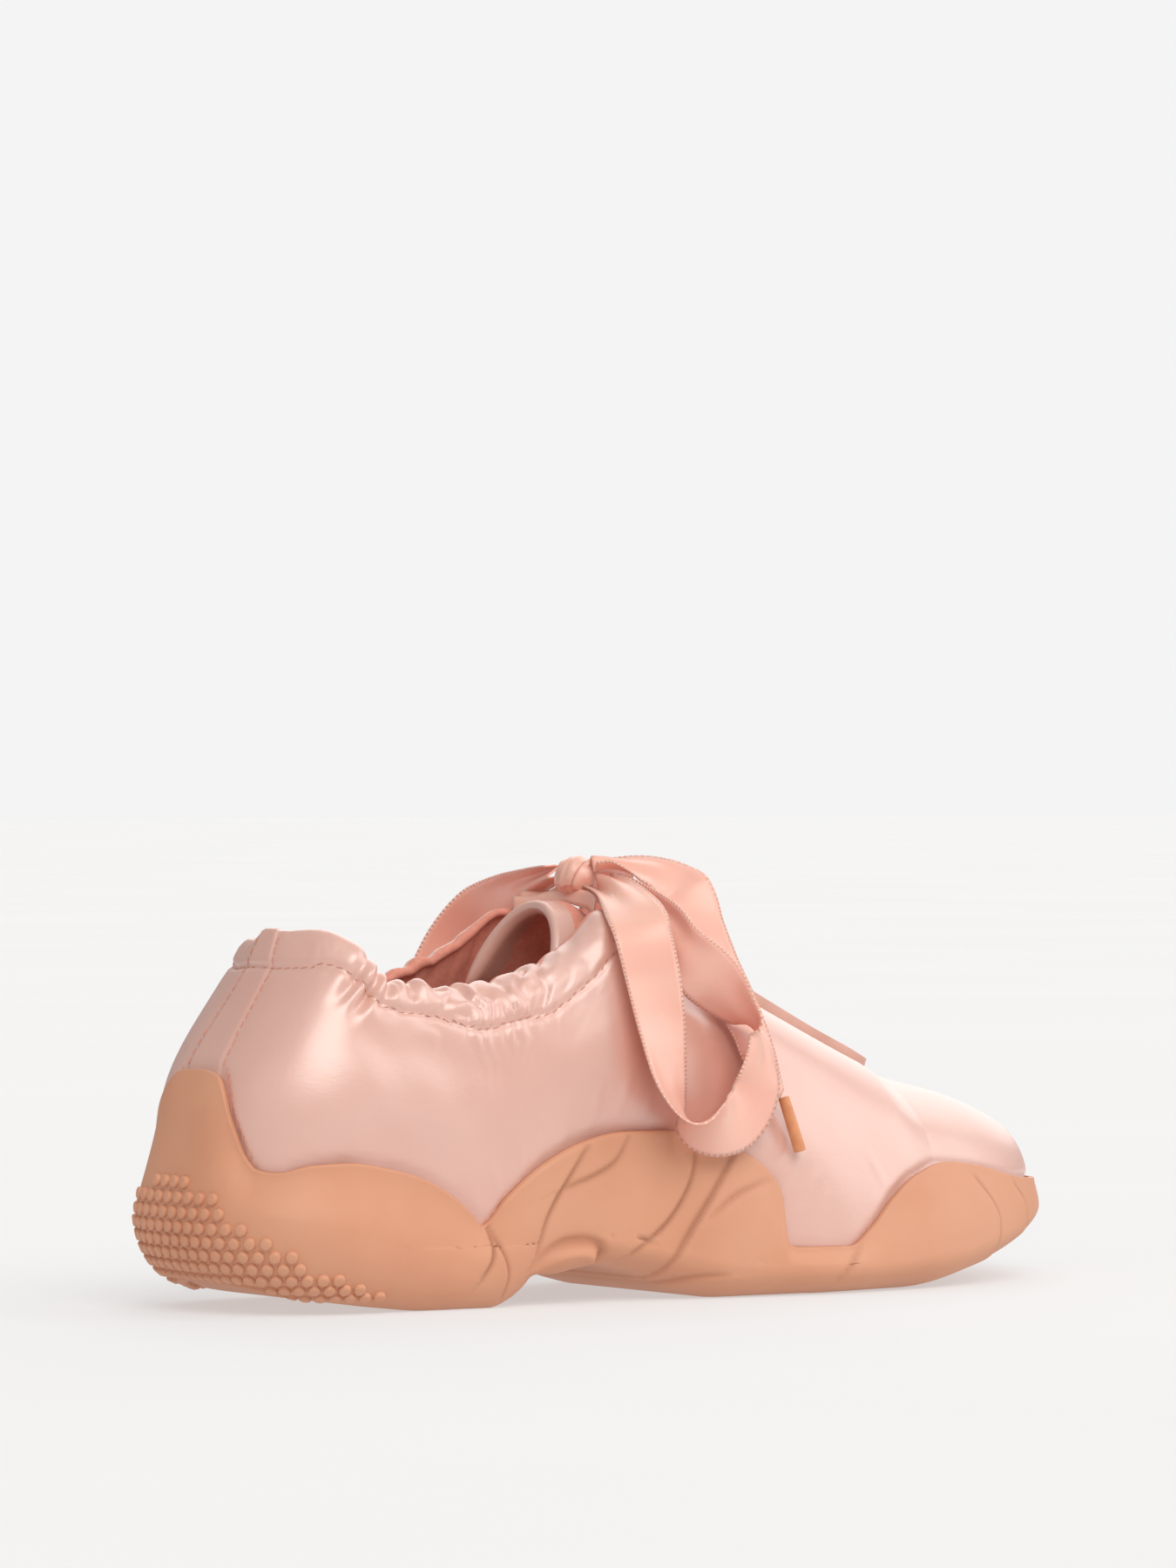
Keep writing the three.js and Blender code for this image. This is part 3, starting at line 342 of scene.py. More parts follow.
# ribbon: middle of the band, direction across it and its width, as in the solids
ribbonRuns = {
    "ribbonLoopLateral": [
        (114, -6.6, 101, 0.7, 0.27, 0.66, 7), (109.8, -21.1, 98.8, 0.94, 0.01, 0.33, 11.5), (106.9, -32, 93.9, 0.96, -0.13, 0.23, 15),
        (105.6, -37.5, 87.7, 0.98, -0.13, 0.17, 15), (106.7, -39.9, 77.1, 0.99, -0.08, 0.1, 15), (107.2, -42.4, 65.6, 0.99, 0.11, 0.05, 15),
        (107.4, -45.1, 55.2, 0.95, 0.3, -0.06, 14.5), (108.4, -47.2, 48.8, 0.86, 0.45, -0.24, 14.5), (111.2, -48.6, 44.2, 0.78, 0.5, -0.37, 14.5),
        (116.6, -48.6, 42.3, 0.73, 0.42, -0.54, 15), (122.9, -47.8, 42.2, 0.72, 0.3, -0.62, 15), (129.7, -45.9, 44.7, 0.74, 0.12, -0.67, 15),
        (133.4, -45.3, 49.5, 0.81, 0.1, -0.57, 15), (135, -45.5, 55.2, 0.87, 0.27, -0.42, 14.8), (135.8, -44.6, 60.6, 0.85, 0.47, -0.24, 13.2),
        (135.6, -43.1, 65.1, 0.68, 0.67, -0.28, 12.1), (132.2, -42.1, 68.9, 0.31, 0.7, -0.65, 13.2), (127.5, -39.7, 74.6, -0.07, 0.58, -0.82, 14.5),
        (122.3, -38.2, 79.7, -0.34, 0.4, -0.85, 14.6), (117.6, -36, 85.1, -0.37, 0.5, -0.75, 13), (117.2, -29.6, 90.9, -0.54, 0.55, -0.5, 11),
        (117.3, -17, 96.4, -0.61, 0.6, -0.3, 9), (117, -8.6, 99.4, -0.54, 0.71, -0.45, 6),
    ],
    "ribbonEndLateral": [
        (112.8, -5.6, 105, 0.43, 0.81, 0.4, 6), (117.2, -6.9, 105.6, 0.59, 0.78, 0.19, 9.5), (123.2, -10.2, 104.4, 0.56, 0.7, 0.45, 12),
        (126.7, -13.9, 102.9, 0.6, 0.58, 0.55, 13.5), (129.8, -16.8, 100.2, 0.58, 0.38, 0.71, 14.5), (130.7, -20.7, 97, 0.62, 0.3, 0.72, 14.5),
        (130.8, -25.3, 90.3, 0.73, 0.26, 0.63, 14.3), (132.6, -29.9, 81.5, 0.83, 0.22, 0.51, 13.5), (136.1, -32.9, 72, 0.92, 0.12, 0.37, 12.6),
        (138.7, -35.5, 64.4, 0.98, 0.12, 0.12, 11.9), (140.4, -38.4, 56.3, 1, 0.07, -0.06, 10.7), (142.4, -41.1, 51.2, 0.95, 0.32, -0.02, 7),
        (144, -41.4, 49.2, 0.96, 0.28, 0.03, 3),
    ],
    "ribbonLoopMedial": [
        (110.4, 7.4, 102.9, 0.3, 0.3, -0.9, 5), (111.2, 17.5, 100.3, 0.16, 0.18, -0.95, 7.6), (111.4, 28, 97.1, 0.36, 0.05, -0.93, 12),
        (110.4, 37, 93.2, 0.49, -0.05, -0.87, 15), (109.1, 41.8, 90.2, 0.68, -0.18, -0.71, 15), (107.2, 45.2, 86, 0.78, -0.25, -0.57, 15),
        (105, 47, 81.2, 0.84, -0.29, -0.46, 15), (102.5, 47.8, 74.9, 0.86, -0.31, -0.4, 15), (100.8, 47.8, 66, 0.9, -0.3, -0.3, 15),
        (100.5, 47.4, 58, 0.92, -0.2, -0.3, 15), (103, 46.2, 51, 0.85, -0.05, -0.5, 15), (108.5, 44.2, 47.5, 0.75, 0.05, -0.65, 15),
        (114.5, 42, 49.5, 0.8, 0.05, -0.6, 15), (118.5, 40, 56, 0.88, 0, -0.45, 15), (120, 37.8, 64, 0.9, -0.1, -0.42, 14.5),
        (119.5, 34.5, 73, 0.85, -0.25, -0.45, 14), (117, 31.5, 79.5, 0.8, -0.27, -0.55, 13), (116.6, 28.2, 85, 0.55, -0.27, -0.78, 10.5),
        (116.6, 25.4, 89.4, 0.25, -0.2, -0.95, 8.5), (116, 21.2, 93, 0.1, -0.1, -0.95, 7), (115.6, 15.5, 96.4, 0.2, 0.05, -0.9, 5),
        (115.8, 8.2, 99.6, 0.3, 0.2, -0.9, 4),
    ],
    "ribbonEndMedial": [
        (120.6, 3.6, 104.6, 0.75, -0.6, 0.1, 8), (130, 12, 102.6, 0.75, -0.6, 0.1, 12), (136, 22, 96, 0.88, -0.3, 0.1, 13), (139, 31, 83, 0.95, -0.05, 0, 13),
        (140.5, 36, 70, 0.97, 0.1, -0.1, 12), (141.5, 39, 57, 0.98, 0, -0.1, 8), (142.4, 40.2, 51.5, 0.98, 0, -0.1, 3),
    ],
    "knotTail": [
        (112.4, 0.6, 103.6, 0.75, -0.6, 0.1, 5), (116.2, 2, 104.8, 0.75, -0.6, 0.1, 6.5), (120.7, 3.65, 104.6, 0.75, -0.6, 0.1, 8),
    ],
}
ribbonLook = {"thick": 0.45, "across": 11, "step": 1.1, "cup": 0.35, "ripple": 0.25, "pleat": 3.2, "full": 15}


def ribbonBand(name, seed):
    rows = np.array(ribbonRuns[name])
    rows[:, 3:6] = unit(rows[:, 3:6])
    count = int(splineRows(rows, 10)[1] / ribbonLook["step"]) + 1
    rows, length = splineRows(rows, count)
    middle, across, width = rows[:, :3], unit(rows[:, 3:6]), rows[:, 6]
    tangent = unit(np.gradient(middle, axis=0))
    across = unit(across - tangent * np.sum(across * tangent, axis=1, keepdims=True))
    face = np.cross(tangent, across)
    share = np.linspace(-1, 1, ribbonLook["across"])
    run = np.linspace(0, length, count)
    cup = ribbonLook["cup"] * (share[None, :] ** 2 - 0.4)
    ripple = ribbonLook["ripple"] * softNoise(seed, run[:, None], 9 * share[None, :], 38, 4)
    gather = np.clip(1 - width / ribbonLook["full"], 0, 1)[:, None]  # the band folds lengthwise where it narrows into the knot
    fade = np.linspace(1, 0, count)[:, None] ** 2 if "End" in name else 1
    pleat = gather * ribbonLook["pleat"] * np.sin(share[None, :] * 5.2 + 0.6) * fade
    ends = np.minimum(1, np.minimum(run, length - run) / 6)[:, None]
    lift = (cup + ripple) * ends + pleat
    aside = share[None, :, None] * width[:, None, None] / 2
    points = middle[:, None] + across[:, None] * aside + face[:, None] * lift[..., None]
    piece = gridPiece(name, points)
    layer = piece.data.uv_layers["UVMap"].data  # millimetres along the ribbon, share across it
    uvs = np.empty(len(layer) * 2)
    layer.foreach_get("uv", uvs)
    uvs = uvs.reshape(-1, 2)
    uvs[:, 0] *= length
    layer.foreach_set("uv", uvs.ravel())
    applyModifier(piece, "SOLIDIFY", thickness=ribbonLook["thick"] / 1000, offset=0)
    return piece, middle, length


aglets = {
    "agletLateral": {"ends": ((144.3, -41.8, 48.5), (147.6, -44.2, 35.3)), "radius": 1.5, "node": "aglet_lateral"},
    "agletMedial": {"ends": ((142.6, 40.5, 50.7), (145.4, 42.5, 37.2)), "radius": 1.5, "node": "aglet_medial"},
}
for name, look in aglets.items():
    top, tip = np.array(look["ends"][0]), np.array(look["ends"][1])
    axis = unit(tip - top)
    bpy.ops.object.select_all(action="DESELECT")
    bpy.ops.mesh.primitive_cylinder_add(
        vertices=28, radius=look["radius"] / 1000, depth=np.linalg.norm(tip - top) / 1000, end_fill_type="NGON"
    )
    aglet = bpy.context.object
    aglet.name = aglet.data.name = name
    applyModifier(aglet, "BEVEL", width=0.00035, segments=3, limit_method="ANGLE")
    spin = Vector((0, 0, 1)).rotation_difference(Vector(axis)).to_matrix()
    for vertex in aglet.data.vertices:
        flatter = 1 - 0.28 * (vertex.co.z < 0) * min(1, -vertex.co.z / 0.006)  # pressed flatter where the ribbon enters
        vertex.co = spin @ Vector((vertex.co.x, vertex.co.y * flatter, vertex.co.z)) + Vector(toFrame((top + tip) / 2))
    mergeSeams(aglet)
    finishPiece(aglet, tipPlastic, "tip", look["node"])
    look["piece"] = aglet

ribbonPieces = {
    "ribbonLoopLateral": {"node": "ribbon_loop_lateral", "seed": 3, "width": 0.015, "end": "object", "tip": None},
    "ribbonEndLateral": {"node": "ribbon_end_lateral", "seed": 5, "width": 0.0125, "end": "fitting", "tip": "agletLateral"},
    "ribbonLoopMedial": {"node": "ribbon_loop_medial", "seed": 8, "width": 0.015, "end": "object", "tip": None},
    "ribbonEndMedial": {"node": "ribbon_end_medial", "seed": 13, "width": 0.012, "end": "fitting", "tip": "agletMedial"},
}
for name, look in ribbonPieces.items():
    band, middle, length = ribbonBand(name, look["seed"])
    finishPiece(band, ribbonSatin, "ribbon", look["node"])
    print(name, round(length), "mm")

# the last that the shoe is made on
last = {"heel": 1.0, "toe": 248.5, "heelRound": 31, "toeRound": 66, "heelPower": 2.6, "toePower": 2.35}
plan = table(
    "x lateral medial",
    (0, 32, 32), (40, 32, 31), (75, 33, 28), (105, 36, 27), (140, 41, 33.5), (165, 43.5, 40), (190, 43, 43), (215, 40.5, 43), (250, 36, 40),
)
spine = table("x y", (0, 0), (150, 0), (190, 0.5), (225, 2.5), (250, 5))
featherLine = table("x z", (0, 17), (30, 16), (65, 15), (95, 16.5), (120, 12.5), (145, 8), (175, 7.4), (205, 9.5), (230, 14), (250, 18.5))
topLine = table(
    "x z lean half",
    (1, 89.5, 22, 2), (8, 90, 19.5, 13), (16, 87, 16, 19), (26, 80, 10.5, 22.5), (36, 76.5, 6, 24), (48, 76, 3, 24.3), (62, 76.5, 1, 24),
    (78, 79.5, 0, 23.5), (92, 86, 0, 23), (104, 94, 0, 21), (112, 92.5, 0, 15), (124, 86, 0, 11), (150, 73.5, 0, 9), (185, 57, 0, 7.5),
    (196, 52.5, 0, 0), (215, 48, 0, 0), (235, 43.4, -6.5, 0), (244, 41, -10.5, 0), (248.5, 39.6, -12.5, 0),
)
fullness = table(
    "x across up lateral medial",
    (0, 1, 0.9, 1.5, 1.5), (40, 0.93, 0.9, 3.5, 3.5), (80, 0.88, 0.9, 5, 4), (120, 0.87, 0.9, 3, 2), (160, 0.95, 0.92, 0.8, 0.5),
    (215, 0.88, 0.85, 0.3, 0.2), (250, 0.8, 0.72, 0, 0),
)
signOf = {"lateral": -1, "medial": 1}


def sweep(start, stop, u):
    return start + (stop - start) * (1 - np.cos(math.pi * np.asarray(u, float))) / 2


def stationOf(x):
    return np.arccos(1 - 2 * np.clip((x - last["heel"]) / (last["toe"] - last["heel"]), 0, 1)) / math.pi


def rounding(x):
    h = np.clip((last["heel"] + last["heelRound"] - x) / last["heelRound"], 0, 1)
    t = np.clip((x - last["toe"] + last["toeRound"]) / last["toeRound"], 0, 1)
    return np.maximum(0, 1 - h ** last["heelPower"]) ** (1 / last["heelPower"]) * np.maximum(0, 1 - t ** last["toePower"]) ** (1 / last["toePower"])


def openHalf(x):
    half = along(topLine, "half", x)
    return np.where(half < 0.6, 0, half)


def lastPoint(side, u, phi):  # phi runs from the footbed's edge to the top line
    u, phi = np.broadcast_arrays(np.asarray(u, float), np.asarray(phi, float))
    x = sweep(last["heel"], last["toe"], u)
    full = along(plan, side, x) * rounding(x)
    half = np.minimum(openHalf(x), full)
    bottom, top = along(featherLine, "z", x), along(topLine, "z", x)
    across = np.maximum(0, np.cos(phi)) ** along(fullness, "across", x)
    up = np.sin(phi) ** along(fullness, "up", x)
    pillow = along(fullness, side, x) * np.sin(2 * phi) * np.minimum(1, full / 25)
    share = np.where(x < 125, smooth(0.4, 1.06, up) / smooth(0.4, 1.06, 1), 1 - np.cos(phi))
    y = along(spine, "y", x) + signOf[side] * (half + (full - half) * across + pillow)
    return np.stack([x + along(topLine, "lean", x) * share, y, bottom + (top - bottom) * up], -1)


def sideNormal(side, u, phi):
    step = 1e-4
    u, phi = np.clip(u, 3e-3, 1 - 3e-3), np.clip(phi, 0.03, halfPi - 0.03)
    du = lastPoint(side, u + step, phi) - lastPoint(side, u - step, phi)
    dp = lastPoint(side, u, phi + step) - lastPoint(side, u, phi - step)
    return unit(np.cross(du, dp) * -signOf[side])


def lastNormal(side, u, phi):  # both sides share one upright normal where they meet
    u, phi = np.broadcast_arrays(np.asarray(u, float), np.asarray(phi, float))
    own = sideNormal(side, u, phi)
    shared = sideNormal("lateral", u, phi) + sideNormal("medial", u, phi)
    shared[..., 1] = 0
    meets = (u <= 0) | (u >= 1) | ((phi > halfPi - 1e-6) & (openHalf(sweep(last["heel"], last["toe"], u)) == 0))
    return np.where(meets[..., None], unit(shared), own)


def skin(side, u, phi, out):
    return lastPoint(side, u, phi) + lastNormal(side, u, phi) * np.asarray(out, float)[..., None]


def phiAt(u, z):
    x = sweep(last["heel"], last["toe"], u)
    bottom, top = along(featherLine, "z", x), along(topLine, "z", x)
    share = np.clip((z - bottom) / (top - bottom), 0, 1)
    return np.arcsin(share ** (1 / along(fullness, "up", x)))


# top edge of the rubber: heel, middle and toe lobes with the two dips between them
heelLobe = (
    (1, 56.5), (1.45, 55.5), (2.15, 51.8), (3.2, 43.8), (4.4, 37.1), (5.8, 34.1), (8.6, 33.4), (15.3, 35.1), (24, 35.5), (35, 33.8), (45, 31),
    (53, 26.6), (58, 22.5), (61, 19.6),
)
rubberTop = {
    "lateral": table(
        "x z", *heelLobe, (67.5, 26.1), (76.7, 33.4), (87.7, 38.7), (98.9, 40.9), (108.8, 41), (121.6, 39.3), (129.7, 36.9), (136.2, 33.2),
        (141.1, 28.8), (143.4, 24.5), (144.4, 16), (145.4, 12.6), (148, 11.6), (163, 11.4), (169, 15.3), (177, 22.7), (185, 27.7), (195.7, 30.3),
        (208.7, 28.9), (220.6, 26.4), (230, 25), (248.5, 24),
    ),
    "medial": table(
        "x z", *heelLobe, (68, 26.6), (80, 35), (95, 42), (108, 43.4), (124, 42), (142, 34.4), (151, 27), (156, 20), (158, 13), (161, 11.2),
        (175, 11), (180, 14), (190, 23), (206, 30.3), (220, 29), (234, 26), (248.5, 24),
    ),
}

upperLook = {"stations": 420, "rows": 66, "inner": 24, "wall": 2.0, "gather": 2.0, "rim": 5, "swellIn": 1.5}
backStrip = ((20, 57, 81, 90), (8, 7.2, 5, 3.4))  # half width of the strip down the back, by height
casingLine = table(
    "x deep swell gathered",
    (1, 8.2, 0.5, 0.05), (6, 8, 0.7, 0.08), (14, 7.6, 1.3, 0.1), (24, 7, 2.0, 0.15), (31, 6, 1.9, 0.5), (38, 5.4, 1.2, 0.8), (46, 6.2, 0.9, 0.9),
    (54, 8.2, 0.8, 1), (62, 10, 0.8, 1), (70, 9.4, 0.8, 1), (82, 10.2, 0.9, 0.8), (90, 9.2, 1.0, 0.4), (97, 8.8, 1.0, 0.25), (104, 8.4, 0.6, 0.15),
    (109, 8.2, 0, 0),
)
farSag = {"lateral": 0, "medial": 2.8}  # the far corner of the heel stands lower
casingEnd = {"lateral": (101, 109), "medial": (96, 98.5)}  # where the casing stops before the knot


def puffs(seed, length, narrow, wide):  # uneven puffs of gathered cloth with tight valleys between them
    rng = random.Random(seed)
    marks = [-length - 5.0]
    while marks[-1] < length + 5:
        marks.append(marks[-1] + rng.uniform(narrow, wide))
    marks, tall = np.array(marks), np.array([rng.uniform(0.35, 1) for _ in marks])

    def rise(s):
        i = np.clip(np.searchsorted(marks, s) - 1, 0, len(marks) - 2)
        t = np.clip((s - marks[i]) / (marks[i + 1] - marks[i]), 0, 1)
        return tall[i] * np.sin(math.pi * t) ** 0.8

    return rise


edgePuffs, seamPuffs, wavePuffs = puffs(4, 150, 5, 11), puffs(9, 150, 4, 8), puffs(15, 150, 9, 17)
# deep folds where the casing turns from the heel to the side: from, to, depth
casingFolds = (((33.5, 82.5), (24.5, 73.4), 1.5), ((36.5, 80), (27.6, 70.8), 2.4), ((39.5, 79), (34.1, 72.2), 1.7), ((45.5, 78.5), (43, 72), 1.0))
# short strain folds of the satin along the rubber: from, to, height
upperFolds = (
    ((139, 29), (147, 40), 0.4), ((142, 25.5), (151, 36), 0.45), ((144.5, 21.5), (155, 31), 0.4), ((146, 17), (158, 26), 0.35),
    ((72, 31), (70, 42), 0.25), ((77, 35), (77, 46), 0.3), ((83, 38.5), (84, 50), 0.3), ((90, 41), (93, 54), 0.3), ((97, 43), (101, 57), 0.3),
    ((104, 44), (109, 57), 0.25), ((60, 23), (55, 33), 0.25), ((66, 25), (62, 36), 0.25), ((176, 24), (170, 36), 0.25),
)


def upperRise(side, u, phi, points):  # what the satin does over the plain last: casing, gathers, folds, back strip
    x = sweep(last["heel"], last["toe"], u) + 0 * phi
    crest = points[:, -1]
    run = np.concatenate([[0], np.cumsum(np.linalg.norm(np.diff(crest, axis=0), axis=1))])[:, None] * signOf[side]
    down = np.cumsum(np.linalg.norm(np.diff(points[:, ::-1], axis=1), axis=2), axis=1)
    drop = np.concatenate([np.zeros((len(points), 1)), down], axis=1)[:, ::-1]
    X, Z = points[..., 0], points[..., 2]
    deepZ = along(topLine, "z", x[:, 0]) - along(casingLine, "deep", x[:, 0])
    depth = np.array([np.interp(deepZ[i], Z[i], drop[i]) for i in range(len(Z))])[:, None]
    collar = 1 - smooth(*casingEnd[side], x)
    gathered = along(casingLine, "gathered", x) * collar
    slant = run + drop * 0.45 * np.sin(run / 9.0 + 1.0) + 1.6 * softNoise(31, run, drop * 1.6, 13, 5)
    share = np.clip(drop / depth, 0, 1)
    tube = np.sin(math.pi * np.clip(0.03 + 0.97 * share, 0, 1)) ** 0.6
    mix = smooth(0.15, 1, share)
    puff = edgePuffs(slant) * (1 - mix) + seamPuffs(slant) * mix
    puff = puff + 0.5 * wavePuffs(slant + 3) - 0.35 * np.abs(softNoise(37, run, drop * 0.8, 9, 5))
    inside = drop < depth
    ruffle = upperLook["gather"] * gathered * (puff - 0.35) * (0.35 + 0.65 * tube)
    casing = np.where(inside, along(casingLine, "swell", x) * tube * collar + ruffle, 0)
    past = np.maximum(drop - depth, 0)
    below = np.where(inside, 0, gathered * (1.0 * seamPuffs(slant) - 0.3) * np.exp(-past / 5.0) * smooth(0, 1.4, past))
    seam = -0.7 * collar * np.exp(-(((drop - depth) / 0.8) ** 2))
    rise = casing + below + seam
    for a, b, deep in casingFolds:
        far, _, t = runDistance(X, Z, (a, ((a[0] + b[0]) / 2 + 0.5, (a[1] + b[1]) / 2), b))
        rise = rise - deep * np.exp(-((far / 1.3) ** 2)) * np.sin(math.pi * np.clip(0.15 + 0.8 * t, 0, 1))
        rise = rise + 0.35 * deep * np.exp(-(((far - 2.6) / 1.6) ** 2)) * np.sin(math.pi * np.clip(0.15 + 0.8 * t, 0, 1))
    wide = smooth(4, 30, x) * (1 - smooth(225, 245, x))
    rise = rise + 0.75 * softNoise(21, X * 0.55, Z, 40) * wide * smooth(2, 14, past) * (1 - 0.6 * smooth(130, 170, x))
    rise = rise + 0.16 * softNoise(27, X, Z * 0.8, 15) * wide * smooth(2, 12, past) * (1 - 0.5 * smooth(130, 170, x))
    for a, b, tall in upperFolds:
        far, _, t = runDistance(X, Z, (a, ((a[0] + b[0]) / 2 + 0.6, (a[1] + b[1]) / 2), b))
        rise = rise + tall * np.exp(-((far / 1.1) ** 2)) * np.sin(math.pi * t)
    half = np.interp(Z, *backStrip)
    rise = rise + 0.35 * (1 - smooth(half - 0.6, half + 0.3, np.abs(points[..., 1]))) * (x < 30)
    edge = Z - along(rubberTop[side], "z", x)
    rise = rise - 0.8 * np.exp(-(((edge - 0.6) / 1.1) ** 2))
    return rise, drop, run, depth


stations = np.linspace(0, 1, upperLook["stations"])
rowsUp = np.linspace(0, halfPi, upperLook["rows"])
closedFrom = float(stations[np.argmax(openHalf(sweep(last["heel"], last["toe"], stations)) == 0)])
edgeRuns = {}
halves = []
for side in ("lateral", "medial"):
    u, phi = stations[:, None], rowsUp[None, :]
    base, normal = lastPoint(side, u, phi), lastNormal(side, u, phi)
    rise, drop, run, depth = upperRise(side, u, phi, base)
    outer = base + normal * rise[..., None]
    stationX = sweep(last["heel"], last["toe"], stations)
    edgeWave = 1.6 * (0.7 * edgePuffs(run[:, 0]) + 0.4 * wavePuffs(run[:, 0] + 3) - 0.5) * along(casingLine, "gathered", stationX)
    sag = farSag[side] * (smooth(1.2, 4, stationX) * (1 - smooth(16, 34, stationX)))[:, None]
    outer[..., 2] += edgeWave[:, None] * np.exp(-drop / 3.5) - sag * np.exp(-drop / 9)
    down = np.linspace(0, 1, upperLook["inner"])[None, :]
    innerPhi = halfPi * (1 - down**1.5)
    plain = skin(side, u, innerPhi, np.full((len(stations), upperLook["inner"]), -upperLook["wall"]))
    deep = np.linalg.norm(plain - plain[:, :1], axis=2) / depth  # the casing is a tube, so it swells inward too
    collarAt = (1 - smooth(*casingEnd[side], stationX))[:, None]
    puffed = 0.6 + 0.8 * edgePuffs(run) * along(casingLine, "gathered", stationX)[:, None]
    inward = upperLook["swellIn"] * np.sin(math.pi * np.clip(deep, 0, 1)) ** 0.6 * collarAt * puffed
    inner = skin(side, u, innerPhi, -upperLook["wall"] - inward)
    inner[..., 2] += edgeWave[:, None] * (1 - down) ** 5 - sag * (1 - down) ** 4
    top, under = outer[:, -1], inner[:, 0]
    middle, reach = (top + under) / 2, (top - under) / 2
    up = unit(np.cross(np.gradient(middle, axis=0), reach) * signOf[side])
    turns = np.linspace(0, math.pi, upperLook["rim"] + 2)[1:-1]
    bulge = up * np.linalg.norm(reach, axis=1, keepdims=True)
    rim = [middle + reach * math.cos(t) + bulge * math.sin(t) * 0.9 for t in turns]
    rim = [np.where((stations >= closedFrom)[:, None], middle + reach * math.cos(t), r) for t, r in zip(turns, rim)]
    loop = np.concatenate([outer, np.stack(rim, 1), inner], axis=1)
    halves.append(gridPiece("upperHalf", loop))
    edgeRuns[side] = {"outer": outer, "normal": normal, "drop": drop, "depth": depth}
upper = joinPieces("satinUpper", halves)
mergeSeams(upper)
bpy.ops.object.mode_set(mode="EDIT")
bpy.ops.mesh.select_mode(type="FACE")
bpy.ops.mesh.select_all(action="DESELECT")
bpy.ops.object.mode_set(mode="OBJECT")
ridgeRun, ridgeSide = stationX + along(topLine, "lean", stationX), along(spine, "y", stationX)
ridgeX = (sweep(last["heel"], last["toe"], closedFrom) - planCentre["x"]) / 1000 - 1e-5
for face in upper.data.polygons:  # inner walls along the closed ridge
    spineY = (np.interp(face.center.x * 1000 + planCentre["x"], ridgeRun, ridgeSide) - planCentre["y"]) / 1000
    onSpine = abs(face.normal.y) > 0.9 and abs(face.center.y - spineY) < 0.0004
    face.select = bool(face.center.x > ridgeX and onSpine and face.center.z > 0.03)
bpy.ops.object.mode_set(mode="EDIT")
bpy.ops.mesh.delete(type="ONLY_FACE")
bpy.ops.mesh.select_mode(type="VERT")
bpy.ops.mesh.select_all(action="SELECT")
bpy.ops.mesh.delete_loose()
bpy.ops.mesh.select_all(action="SELECT")
bpy.ops.mesh.normals_make_consistent(inside=False)
bpy.ops.object.mode_set(mode="OBJECT")
toeCap = {"x": 234.0, "z": 40.5, "reach": 12.0, "rounds": 30}  # the satin is smoothed where the two halves meet over the toe
capMiddle = Vector(toFrame((toeCap["x"], float(along(spine, "y", toeCap["x"])), toeCap["z"])))
bpy.ops.object.mode_set(mode="EDIT")
bpy.ops.mesh.select_all(action="DESELECT")
bpy.ops.object.mode_set(mode="OBJECT")
for vertex in upper.data.vertices:
    vertex.select = (vertex.co - capMiddle).length < toeCap["reach"] / 1000
bpy.ops.object.mode_set(mode="EDIT")
bpy.ops.mesh.vertices_smooth(factor=0.5, repeat=toeCap["rounds"])
bpy.ops.object.mode_set(mode="OBJECT")
finishPiece(upper, satin, "satin", "upper")
upper.data.materials.append(liningCloth)
for face in upper.data.polygons:  # the wall's inner side is lining
    x = face.center.x * 1000 + planCentre["x"]
    inward = face.normal.y * (face.center.y - (np.interp(x, ridgeRun, ridgeSide) - planCentre["y"]) / 1000) < 0
    overToe = face.center.x > ridgeX and face.normal.z > 0
    face.material_index = int(inward and face.center.z < 0.0995 and abs(face.normal.y) > 0.05 and not overToe)
print("upper", len(upper.data.polygons), "faces")

rubber = table(
    "x thick inset widest",
    (0, 6.2, 12, 24), (10, 5.8, 12, 23), (25, 5.2, 11, 19), (45, 5, 9, 14), (62, 4.5, 8, 11), (70, 3.5, 8, 13), (85, 3, 8, 17), (110, 3.2, 10, 13),
    (140, 3.4, 12, 8), (165, 3.2, 12, 7), (190, 3.2, 13, 9), (220, 2.8, 14, 13.5), (238, 2.5, 14, 17.5), (248.5, 2.4, 14, 18.5),
)
treadLine = table(
    "x z",
    (-6, 14), (6, 7.5), (20, 3.4), (36, 1), (48, 0), (67, 0), (72, 2), (79, 7.5), (89, 10), (104, 7.5), (118, 2.5), (130, 0), (184, 0), (202, 2.8),
    (218, 7), (234, 11.5), (252, 16.5),
)
soleLook = {"stations": 420, "side": 36, "under": 34, "rim": 5, "cup": 5, "tread": 16, "edge": 1.6, "treadHeel": 5.0, "treadToe": 238.0, "seat": 0.12, "roll": 0.4}
